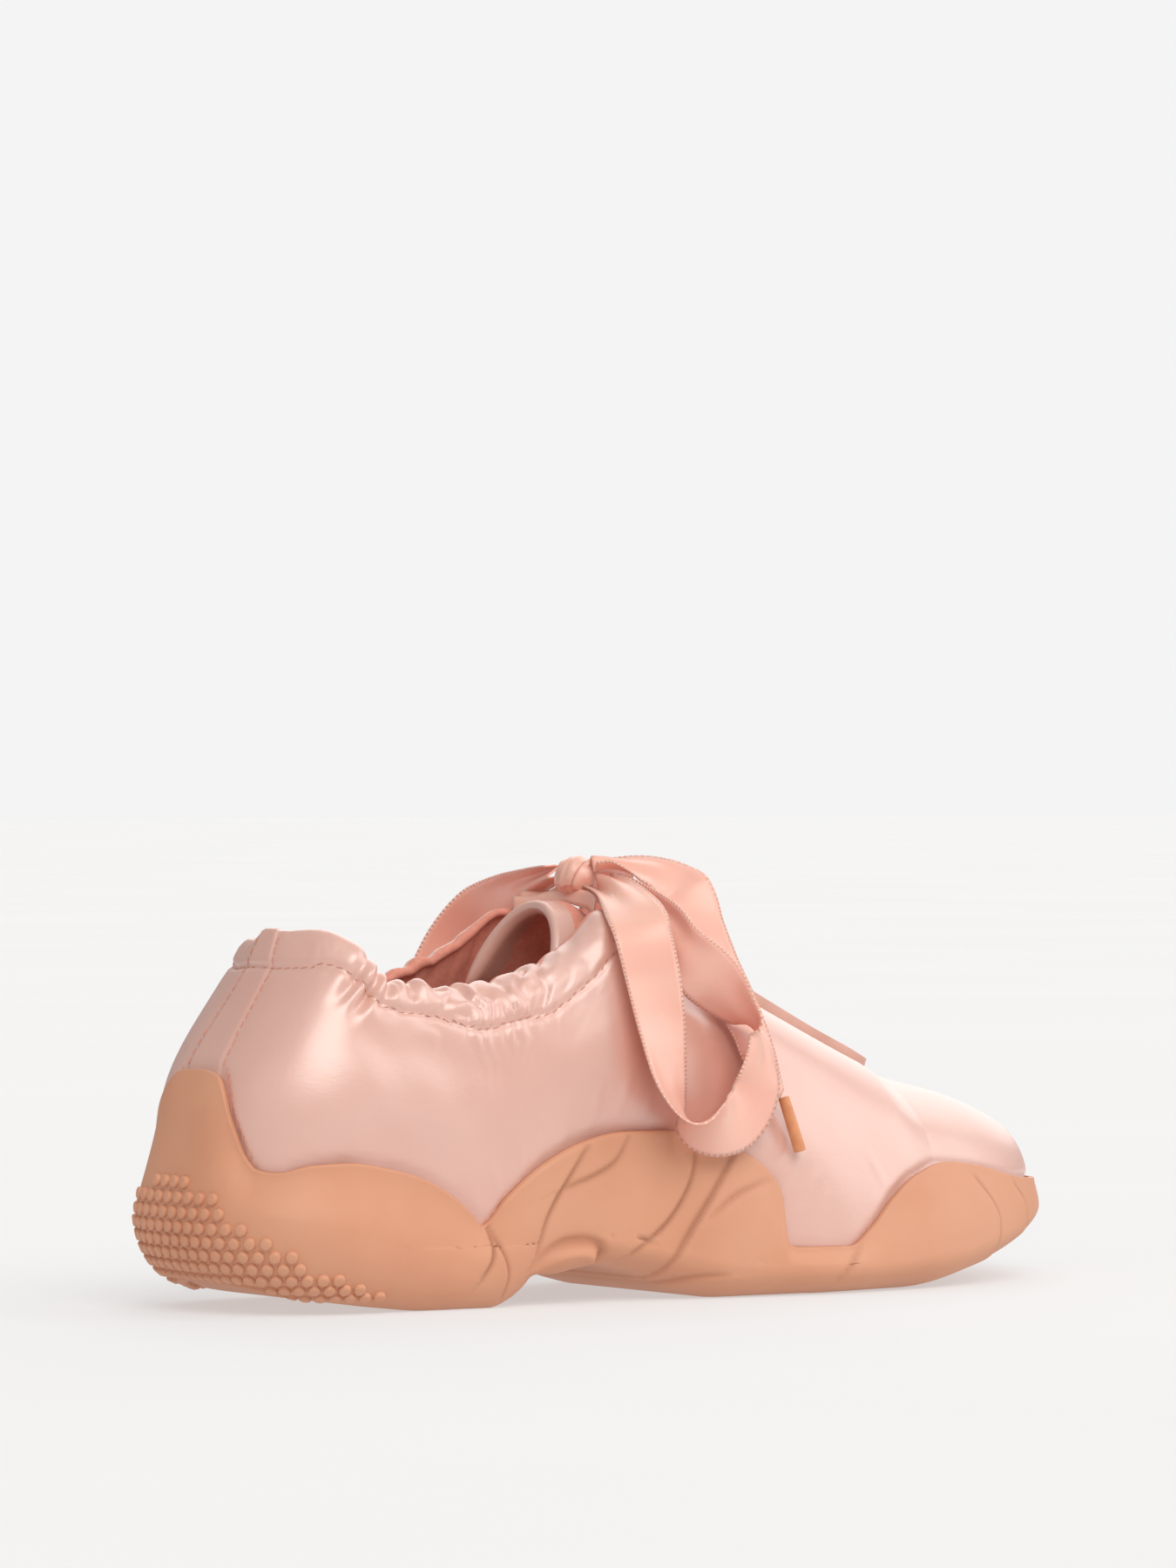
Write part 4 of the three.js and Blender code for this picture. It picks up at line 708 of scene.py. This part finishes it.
# folds of the moulded side: height of the step, its slope's length, whether the left or the right of the line stands higher, run over x and z
creases = (
    (1.0, 6, 1, ((61.2, 20.4), (62.2, 15.3), (61.4, 11.8), (59, 7.6))),
    (1.3, 4, 1, ((61.6, 19.6), (64.8, 13.8), (66.9, 8.2), (66.6, 3))),
    (0.9, 7, 1, ((88.5, 38.2), (81.3, 27.5), (77.6, 20.9), (75.3, 13.5))),
    (0.7, 6, 1, ((100, 40), (96.5, 34.6), (90.5, 31.2), (82, 28.2))),
    (1.0, 7, 1, ((119, 38.5), (117.6, 30.7), (114.1, 24), (109.4, 18.3), (102, 12.5))),
    (1.0, 7, -1, ((129.6, 34.6), (123.6, 25.8), (117, 16.5), (111, 6.5))),
    (0.7, 6, -1, ((138.5, 28.2), (129.7, 25.1), (122.8, 20.2))),
    (0.6, 5, 1, ((112, 4.2), (119.6, 5.4), (127.5, 5.6))),
    (1.0, 7, 1, ((206.5, 26.4), (211.6, 20.5), (213.7, 15.5), (212.5, 8.5))),
    (0.7, 4, 1, ((224, 24.2), (228, 19.6), (228.5, 14))),
    (0.5, 4, -1, ((165.1, 10.9), (158.9, 3.9))),
)
# leaf-shaped lip over the arch: how far it stands out and its outline
archLip = {
    "proud": 2.6, "edge": 1.5,
    "outline": (
        (73, 7.6), (78.5, 12), (83.1, 14.2), (88.5, 14.6), (91.7, 13.8), (93.1, 12.3), (92.1, 10.6), (86, 9.4), (79, 7.6), (73, 7.6),
    ),
}


def rubberPoint(side, u, v):  # v is 0 at the top edge, 1 at the widest line, 2 at the tread's edge
    u, v = np.broadcast_arrays(np.asarray(u, float), np.asarray(v, float))
    x = sweep(last["heel"], last["toe"], u)
    bottom, top = along(featherLine, "z", x), along(rubberTop[side], "z", x)
    widest, thick = along(rubber, "widest", x), along(rubber, "thick", x)
    a = np.clip(v, 0, 1)
    z = top + (widest - top) * a
    out = soleLook["edge"] + (thick - soleLook["edge"]) * smooth(0, 1, a)
    point = skin(side, u, phiAt(u, np.maximum(z, bottom)), out)
    point[..., 2] = np.where(z < bottom, z, point[..., 2])
    edgeX = sweep(soleLook["treadHeel"], soleLook["treadToe"], u)
    half = (along(plan, side, x) + thick - along(rubber, "inset", x)) * rounding(x)
    edge = np.stack([edgeX, along(spine, "y", x) + signOf[side] * half, along(treadLine, "z", edgeX)], -1)
    turnBy = (2 - np.clip(v, 1, 2)) * halfPi
    under = edge + (point - edge) * np.sin(turnBy)[..., None]
    under[..., 2] = edge[..., 2] + (point[..., 2] - edge[..., 2]) * (1 - np.cos(turnBy))
    return np.where((v > 1)[..., None], under, point)


def rubberNormal(side, u, v):
    step = 2e-3
    u, v = np.clip(u, 4e-3, 1 - 4e-3), np.clip(v, 0.01, 1.99)
    du = rubberPoint(side, u + step, v) - rubberPoint(side, u - step, v)
    dv = rubberPoint(side, u, v + step) - rubberPoint(side, u, v - step)
    return unit(np.cross(du, dv) * signOf[side])


def rubberSide(side, u, v):  # the moulded side with its creases and the lip over the arch, and a mask of painted shade for the rubber's colour
    point, normal = rubberPoint(side, u, v), rubberNormal(side, u, v)
    u, v = np.broadcast_arrays(u, v)
    normal[..., 1] = np.where((u <= 0) | (u >= 1), 0, normal[..., 1])
    X, Z = point[..., 0], point[..., 2]
    rise, shade = np.zeros(X.shape), np.zeros(X.shape)
    for step, slope, high, run in creases:
        far, hand, share = runDistance(X, Z, run)
        away = far * hand * high
        taper = np.sin(math.pi * np.clip(0.08 + 0.84 * share, 0, 1)) ** 0.6
        # painted shade: the colour darkens on the low side of each fold's step, where its shadow falls
        shade = np.maximum(shade, 0.75 * min(1, step) * taper * np.exp(-(((away + 0.3) / 0.75) ** 2)))
        ledge = 0.5 * (1 + np.tanh(away / 0.4)) * np.exp(-np.maximum(away, 0) / slope)
        groove = 0.35 * np.exp(-((far / 0.7) ** 2)) + 0.3 * np.exp(-np.abs(np.minimum(away, 0)) / 3) * (away < 0)
        rise = rise + step * taper * (ledge - groove)
    leaf = archLip["outline"]
    far = runDistance(X, Z, leaf)[0]
    crossings = np.zeros(X.shape, int)
    outline = splineRows([(a, b, 0) for a, b in leaf], 60)[0]
    for (ax, az, _), (bx, bz, _) in zip(outline, outline[1:]):
        spans = (az > Z) != (bz > Z)
        crossings += spans & (X < ax + (Z - az) / np.where(bz == az, 1, bz - az) * (bx - ax))
    within = np.where(crossings % 2 == 1, far, -far)
    grow = smooth(72, 84, X)
    gutter = 0.35 * np.exp(-((within + 1.2) ** 2)) * (within < 0)
    rise = rise + archLip["proud"] * grow * (smooth(-0.4, archLip["edge"], within) - gutter)
    # painted shade: the colour darkens just outside the lip's edge, under the lip
    shade = np.maximum(shade, 0.6 * grow * np.exp(-(((within + 0.7) / 0.8) ** 2)))
    return point + normal * rise[..., None], shade


# stations stand closer where the side is creased
fineU = np.linspace(0, 1, 2000)
fineX = sweep(last["heel"], last["toe"], fineU)
waistFolds, toeFolds = smooth(52, 58, fineX) * (1 - smooth(142, 150, fineX)), smooth(200, 205, fineX) * (1 - smooth(230, 235, fineX))
crowd = 1 + 1.1 * waistFolds + 0.5 * toeFolds
count = np.concatenate([[0], np.cumsum((crowd[1:] + crowd[:-1]) / 2)])
u = np.interp(np.linspace(0, count[-1], soleLook["stations"]), count, fineU)[:, None]
sections, shades = [], []
for side in ("lateral", "medial"):
    x = sweep(last["heel"], last["toe"], u)
    topZ, bottomZ = along(rubberTop[side], "z", x), along(featherLine, "z", x)
    cupZ = topZ + (bottomZ - topZ) * np.linspace(1, 0, soleLook["cup"])[None, :]
    cup = skin(side, u, phiAt(u, cupZ), np.full(cupZ.shape, soleLook["seat"]))
    turns = np.linspace(halfPi, 0, soleLook["rim"])[None, :]
    rimOut = soleLook["seat"] + (soleLook["edge"] - soleLook["seat"]) * np.cos(turns)
    rim = skin(side, u, phiAt(u, topZ + 0 * turns), rimOut)
    rim[..., 2] += soleLook["roll"] * np.sin(turns)
    v = np.concatenate([np.linspace(0, 1, soleLook["side"])[1:], np.linspace(1, 2, soleLook["under"])[1:]])[None, :]
    moulded, shade = rubberSide(side, u, v)
    moulded[..., 2] = np.maximum(moulded[..., 2], 0)
    sections.append(np.concatenate([cup, rim, moulded], axis=1))
    shades.append(np.concatenate([np.zeros((len(u), cup.shape[1] + rim.shape[1])), shade], axis=1))
left, rightSide = sections[0][:, -1:], sections[1][:, -1:]
across = np.linspace(0, 1, soleLook["tread"])[None, 1:-1, None]
tread = left + (rightSide - left) * across
ring = np.concatenate([sections[0], tread, sections[1][:, ::-1], sections[0][:, :1]], axis=1)
shade = np.concatenate([shades[0], np.zeros((len(u), tread.shape[1])), shades[1][:, ::-1], shades[0][:, :1]], axis=1)
# the painted shade of the folds and the lip is stored on the sole as a point attribute for the rubber's colour
sole = gridPiece("rubberSole", ring, ("paintedCreaseShade", shade))
mergeSeams(sole)
finishPiece(sole, rubberMaterial, "rubber", "sole")
print("sole", len(sole.data.polygons), "faces")

# nubs on the heel's cushion
nubLook = {"radius": 1.75, "top": 1.4, "height": 1.0, "sunk": 0.8, "pitch": 4.1, "bevel": 0.4}
nubRows = ((31, 10), (27.4, 17), (23.9, 22), (20.5, 27), (17.3, 32), (14.2, 37), (11.3, 43), (8.6, 51), (6.2, 58), (4.2, 64))
bpy.ops.object.select_all(action="DESELECT")
bpy.ops.mesh.primitive_cylinder_add(vertices=14, radius=nubLook["radius"] / 1000, depth=(nubLook["height"] + nubLook["sunk"]) / 1000)
nubShape = bpy.context.object
for vertex in nubShape.data.vertices:
    if vertex.co.z > 0:
        vertex.co.x *= nubLook["top"] / nubLook["radius"]
        vertex.co.y *= nubLook["top"] / nubLook["radius"]
    vertex.co.z += (nubLook["height"] - nubLook["sunk"]) / 2000
applyModifier(nubShape, "BEVEL", width=nubLook["bevel"] / 1000, segments=2, limit_method="ANGLE")
places = []
for k, (z, reach) in enumerate(nubRows):
    shift = 0.5 if k % 2 == 0 else 0
    count = math.floor(reach / nubLook["pitch"] - shift)
    for i in range(-count - (1 if shift else 0), count + 1):
        arc = (i + shift) * nubLook["pitch"]
        side = "lateral" if arc < 0 else "medial"
        us = np.linspace(0, 0.32, 400)
        waist = rubberPoint(side, us, np.ones(400))
        gone = np.concatenate([[0], np.cumsum(np.linalg.norm(np.diff(waist, axis=0), axis=1))])
        at = float(np.interp(abs(arc), gone, us))
        vs = np.linspace(0, 2, 400)
        heights = rubberPoint(side, np.full(400, at), vs)[:, 2]
        v = float(np.interp(-z, -heights, vs))
        origin, normal = rubberPoint(side, at, v), rubberNormal(side, at, v)
        if abs(arc) < 1e-6:
            normal[1] = 0
        places.append((origin, Vector((0, 0, 1)).rotation_difference(Vector(unit(normal))).to_matrix()))
nubs = copiesOf("heelNubs", nubShape, places)
finishPiece(nubs, rubberMaterial, "rubber")
print("nubs", len(places))

# tongue, insole, throat tab
tongueLine = table(
    "x z half drop",
    (101, 96.2, 18.5, 22), (106, 96.2, 19, 22), (113, 92.2, 19.5, 21), (125, 82.5, 20, 19), (150, 69.6, 18, 15), (178, 56.2, 14, 9), (190, 51, 9, 5),
)
tongueLook = {"thick": 3.4, "along": 70, "across": 60, "rim": 9, "slant": 10, "binding": 104.5, "front": 190, "rear": 101}
xs = np.linspace(tongueLook["front"], tongueLook["rear"], tongueLook["along"])
alpha = np.linspace(-halfPi, halfPi, tongueLook["across"])
half, dropBy, crown = along(tongueLine, "half", xs), along(tongueLine, "drop", xs), along(tongueLine, "z", xs)
rearward = 1 - smooth(tongueLook["rear"], 125, xs)  # the rear edge falls away down both sides


def tongueSkin(inside):
    fall = (1 - np.cos(alpha))[None, :]
    back = xs[:, None] - tongueLook["slant"] * rearward[:, None] * fall
    out = (half[:, None] - inside) * np.sin(alpha)[None, :]
    return np.stack([back, out, crown[:, None] - inside - dropBy[:, None] * fall], -1)


taper = (1 - np.abs(alpha / halfPi) ** 8)[None, :]
outside, inside = tongueSkin(0 * taper), tongueSkin(tongueLook["thick"] * taper)
endTop, endUnder = outside[-1], inside[-1]
turns = np.linspace(0, math.pi, tongueLook["rim"] + 2)[1:-1]
endMiddle, endReach, rollOut = (endTop + endUnder) / 2, (endTop - endUnder) / 2, np.array([-1.9, 0, 0.6])
roll = [endMiddle + endReach * math.cos(t) + rollOut * math.sin(t) * taper.T for t in turns]
pad = np.concatenate([outside, np.stack(roll), inside[::-1]], axis=0)
tongue = gridPiece("tonguePad", pad)
mergeSeams(tongue)
finishPiece(tongue, liningCloth, "lining", "tongue")
tongue.data.materials.append(satin)
for face in tongue.data.polygons:  # satin binding round the rear rim
    height = abs(face.center.y) * 1000
    rearX = tongueLook["binding"] - tongueLook["slant"] * (1 - math.sqrt(max(0, 1 - (height / 19) ** 2)))
    face.material_index = int(face.center.x * 1000 + planCentre["x"] < rearX)

insoleLook = {"thick": 3.5, "inset": 0.6, "along": 90, "across": 24}
us = np.linspace(0, 1, insoleLook["along"])[:, None]
withinWall = np.full(len(us), -(upperLook["wall"] + insoleLook["inset"]))
edges = [skin(side, us[:, 0], np.full(len(us), 0.04), withinWall) for side in ("lateral", "medial")]
share = np.linspace(0, 1, insoleLook["across"])[None, :, None]
flatBed = edges[0][:, None] + (edges[1] - edges[0])[:, None] * share
dish = (np.abs(2 * share[..., 0] - 1) ** 3) * 1.2
topBed, lowBed = flatBed.copy(), flatBed.copy()
topBed[..., 2] += insoleLook["thick"] * (1 - np.abs(2 * share[..., 0] - 1) ** 10) + dish * 0.4
bed = np.concatenate([topBed, lowBed[:, ::-1], topBed[:, :1]], axis=1)
insole = gridPiece("footbed", bed)
mergeSeams(insole)
finishPiece(insole, liningCloth, "lining", "insole")

tabLook = {"thick": 2.6, "rear": 125, "front": 199, "half": 12.5, "nose": 8.5, "lift": 0.9, "along": 90, "across": 30, "bevel": 0.7}
spread = np.sin(np.linspace(0, halfPi, tabLook["along"]))
xs = tabLook["rear"] + (tabLook["front"] - tabLook["rear"]) * spread
noseX = tabLook["front"] - tabLook["nose"]
wide = tabLook["half"] + (tabLook["nose"] - tabLook["half"]) * smooth(tabLook["rear"], noseX, xs)
wide = wide * np.sqrt(np.clip(1 - np.clip((xs - noseX) / tabLook["nose"], 0, 1) ** 2, 0, 1))


def topOver(x, y):  # height of the satin under a point of the throat
    z = np.empty(np.shape(y))
    for i in range(len(x)):
        for k in range(y.shape[1]):
            side = "lateral" if y[i, k] < along(spine, "y", x[i]) else "medial"
            rows = throatRows[side][i]
            z[i, k] = np.interp(abs(y[i, k] - along(spine, "y", x[i])), rows[0], rows[1])
    return z


throatRows = {}
for side in ("lateral", "medial"):
    throatRows[side] = []
    for x in xs:
        rows = lastPoint(side, np.full(160, stationOf(x)), np.linspace(0.25, halfPi, 160))
        off = np.abs(rows[:, 1] - along(spine, "y", x))[::-1]
        throatRows[side].append((np.concatenate([[0], off]), np.concatenate([[rows[-1, 2]], rows[::-1, 2]])))
ys = along(spine, "y", xs)[:, None] + wide[:, None] * np.linspace(-1, 1, tabLook["across"])[None, :]
sheet = np.stack([xs[:, None] + 0 * ys, ys, topOver(xs, ys) + tabLook["lift"]], -1)
tab = gridPiece("throatTab", sheet)
mergeSeams(tab)
for face in tab.data.polygons:
    if face.normal.z < 0:
        tab.data.flip_normals()
        break
applyModifier(tab, "SOLIDIFY", thickness=tabLook["thick"] / 1000, offset=1)
applyModifier(tab, "BEVEL", width=tabLook["bevel"] / 1000, segments=3, limit_method="ANGLE", angle_limit=math.radians(50))
finishPiece(tab, tabSuede, "suede", "throat_tab")
print("tongue, insole and tab made")

# knot and the two runs of ribbon into the casing
knotLook = {"middle": (111.6, 0, 101.8), "round": 4.5, "wide": 5.4, "lap": 5.1, "lapWide": 5.2, "thick": 0.5}
around, beside = np.meshgrid(np.linspace(0, 2 * math.pi, 81), np.linspace(-1, 1, 33), indexing="ij")
pleats = 1 + 0.05 * np.sin(13 * beside + 1.5 * np.sin(around)) + 0.06 * np.sin(3 * around + 4 * beside)
reach = knotLook["round"] * np.maximum(1 - np.abs(beside) ** 2.4, 0) ** 0.42 * pleats
core = np.stack([reach * np.cos(around), knotLook["wide"] * beside, reach * np.sin(around)], -1) + knotLook["middle"]
# the lap crosses the core from the front to the back
turnsRound, share = np.linspace(-0.7, 3.6, 70)[:, None], np.linspace(-1, 1, 15)[None, :]
lapY = 2.2 * np.cos(turnsRound + 0.6) + knotLook["lapWide"] / 2 * share
lapOut = knotLook["lap"] - 1.6 * (lapY / knotLook["wide"]) ** 2 - 0.7 * share**2
lapOut = lapOut * (1 + 0.04 * np.sin(7 * share + 2 * turnsRound))
lap = np.stack([lapOut * np.cos(turnsRound), lapY, lapOut * np.sin(turnsRound)], -1) + knotLook["middle"]
coreWrap, lapWrap = gridPiece("knotCore", core), gridPiece("knotLap", lap)
applyModifier(lapWrap, "SOLIDIFY", thickness=knotLook["thick"] / 1000, offset=0)
knot = joinPieces("ribbonKnot", [coreWrap, lapWrap, ribbonBand("knotTail", 17)[0]])  # the tail runs on into the far end
mergeSeams(knot)
finishPiece(knot, ribbonSatin, "ribbon", "ribbon_knot")

ribbonRuns["ribbonBridge"] = [
    (107, -18.6, 95.4, 0.95, 0.1, 0.3, 6), (109.5, -13, 96.8, 0.95, 0.1, 0.3, 7), (111.5, -6.5, 97.2, 1, 0, 0.2, 8), (112.5, 0, 97.3, 1, 0, 0, 8),
    (111.5, 6.5, 97.2, 1, 0, 0.2, 8), (109.5, 13, 95.7, 0.95, -0.1, 0.3, 7), (107, 18.6, 95.4, 0.95, -0.1, 0.3, 6),
]
bridge = ribbonBand("ribbonBridge", 17)[0]
finishPiece(bridge, ribbonSatin, "ribbon", "ribbon_bridge")
print("knot tied")

stitchLook = {"long": 1.9, "pitch": 2.6, "thick": 0.36, "proud": 0.1, "casingEnd": 104, "stripEnd": 55}


def sewRun(name, points, normals, slope=0.0):  # threads along a run on the satin
    points, normals = np.asarray(points), np.asarray(normals)
    run = np.concatenate([[0], np.cumsum(np.linalg.norm(np.diff(points, axis=0), axis=1))])
    bpy.ops.object.select_all(action="DESELECT")
    bpy.ops.mesh.primitive_uv_sphere_add(segments=8, ring_count=6, radius=0.5)
    shape = bpy.context.object
    for vertex in shape.data.vertices:
        x, y, z = vertex.co
        vertex.co = Vector((z * stitchLook["long"], x * stitchLook["thick"], y * stitchLook["thick"])) / 1000
    places = []
    for s in np.arange(stitchLook["pitch"], run[-1] - 1, stitchLook["pitch"]):
        p = np.array([np.interp(s, run, points[:, k]) for k in range(3)])
        q = np.array([np.interp(s + 0.6, run, points[:, k]) for k in range(3)])
        n = unit(np.array([np.interp(s, run, normals[:, k]) for k in range(3)]))
        t = unit(q - p)
        b = unit(np.cross(n, t))
        t = unit(t + slope * b)
        b = np.cross(n, t)
        places.append((p + n * stitchLook["proud"], np.stack([t, b, n], 1)))
    return finishPiece(copiesOf(name, shape, places), sewingThread, "satin")


for side in ("lateral", "medial"):
    grid = edgeRuns[side]
    line, normals = [], []
    for i in range(len(stations)):
        if sweep(last["heel"], last["toe"], stations[i]) > stitchLook["casingEnd"]:
            break
        k = int(np.argmin(np.abs(grid["drop"][i] - grid["depth"][i])))
        line.append(grid["outer"][i, k])
        normals.append(grid["normal"][i, k])
    sewRun("casingStitches" + side.title(), line, normals, 0.25)
    rowsDown = np.linspace(upperLook["rows"] - 4, 8, 60).astype(int)
    line, normals = [], []
    for k in rowsDown:
        strip = grid["outer"][: len(stations) // 4, k]
        if strip[0, 2] < stitchLook["stripEnd"]:
            continue
        i = int(np.argmin(np.abs(np.abs(strip[:, 1]) - np.interp(strip[:, 2], *backStrip) - 0.7)))
        line.append(strip[i])
        normals.append(grid["normal"][i, k])
    sewRun("stripStitches" + side.title(), line, normals, 0.1)
print("stitches sewn")

floorLook = {"size": 40.0, "glow": 0.47}
paper, tree, shader = newMaterial("matteFloor", Roughness=0.95, Specular_IOR_Level=0.1, Emission_Strength=floorLook["glow"])
shader.inputs["Emission Color"].default_value = (1, 1, 1, 1)
place = addNode(tree, "ShaderNodeTexCoord").outputs["Object"]
grain = addNode(tree, "ShaderNodeTexNoise", {"Vector": place, "Scale": 3.0, "Detail": 2.0})
tones = addNode(tree, "ShaderNodeValToRGB", {"Fac": grain.outputs["Fac"]}, ((0.3, "#A1A1A1"), (0.7, "#A4A4A4")))
tree.links.new(tones.outputs["Color"], shader.inputs["Base Color"])
bpy.ops.object.select_all(action="DESELECT")
bpy.ops.mesh.primitive_plane_add(size=floorLook["size"], location=(0, 0, 0))
floor = bpy.context.object
floor.name = "floor"
floor.data.materials.append(paper)

world = bpy.context.scene.world or bpy.data.worlds.new("studio")
bpy.context.scene.world = world
world.use_nodes = True
tree = world.node_tree
tree.nodes.clear()
where = addNode(tree, "ShaderNodeTexCoord").outputs["Generated"]
updown = addNode(tree, "ShaderNodeSeparateXYZ", {"Vector": where})
bright = {"Value": updown.outputs["Z"], "From Min": -0.1, "From Max": 0.8, "To Min": 0.26, "To Max": 0.46}
glow = addNode(tree, "ShaderNodeMapRange", bright)
backdrop = addNode(tree, "ShaderNodeBackground", {"Color": hexColour("#F4F4F4"), "Strength": 1.0})
dome = addNode(tree, "ShaderNodeBackground", {"Color": hexColour("#FFFFFF"), "Strength": glow.outputs[0]})
seen = addNode(tree, "ShaderNodeLightPath").outputs["Is Camera Ray"]
mixed = addNode(tree, "ShaderNodeMixShader", {0: seen, 1: dome.outputs[0], 2: backdrop.outputs[0]})
addNode(tree, "ShaderNodeOutputWorld", {"Surface": mixed.outputs[0]})

lamps = {
    "keyLamp": {"from": (-0.2, -0.75, 0.72), "strength": 1.7, "spread": 46, "colour": "#FFFAF5"},
    "sideLamp": {"from": (0.75, -0.45, 0.45), "strength": 0.95, "spread": 50, "colour": "#FFFFFF"},
    "backLamp": {"from": (0.6, 0.62, 0.55), "strength": 1.0, "spread": 55, "colour": "#FFFFFF"},
    "heelLamp": {"from": (-0.85, -0.3, 0.5), "strength": 0.3, "spread": 60, "colour": "#FFF8F2"},
}
for name, look in lamps.items():
    aim = Vector(look["from"]).to_track_quat("Z", "Y").to_euler()
    bpy.ops.object.light_add(type="SUN", location=(0, 0, 1), rotation=aim)
    lamp = bpy.context.object
    lamp.name = name
    lamp.data.energy = look["strength"]
    lamp.data.angle = math.radians(look["spread"])
    lamp.data.color = hexColour(look["colour"])[:3]
bpy.context.scene.view_settings.view_transform = "Standard"
print("floor and light set")
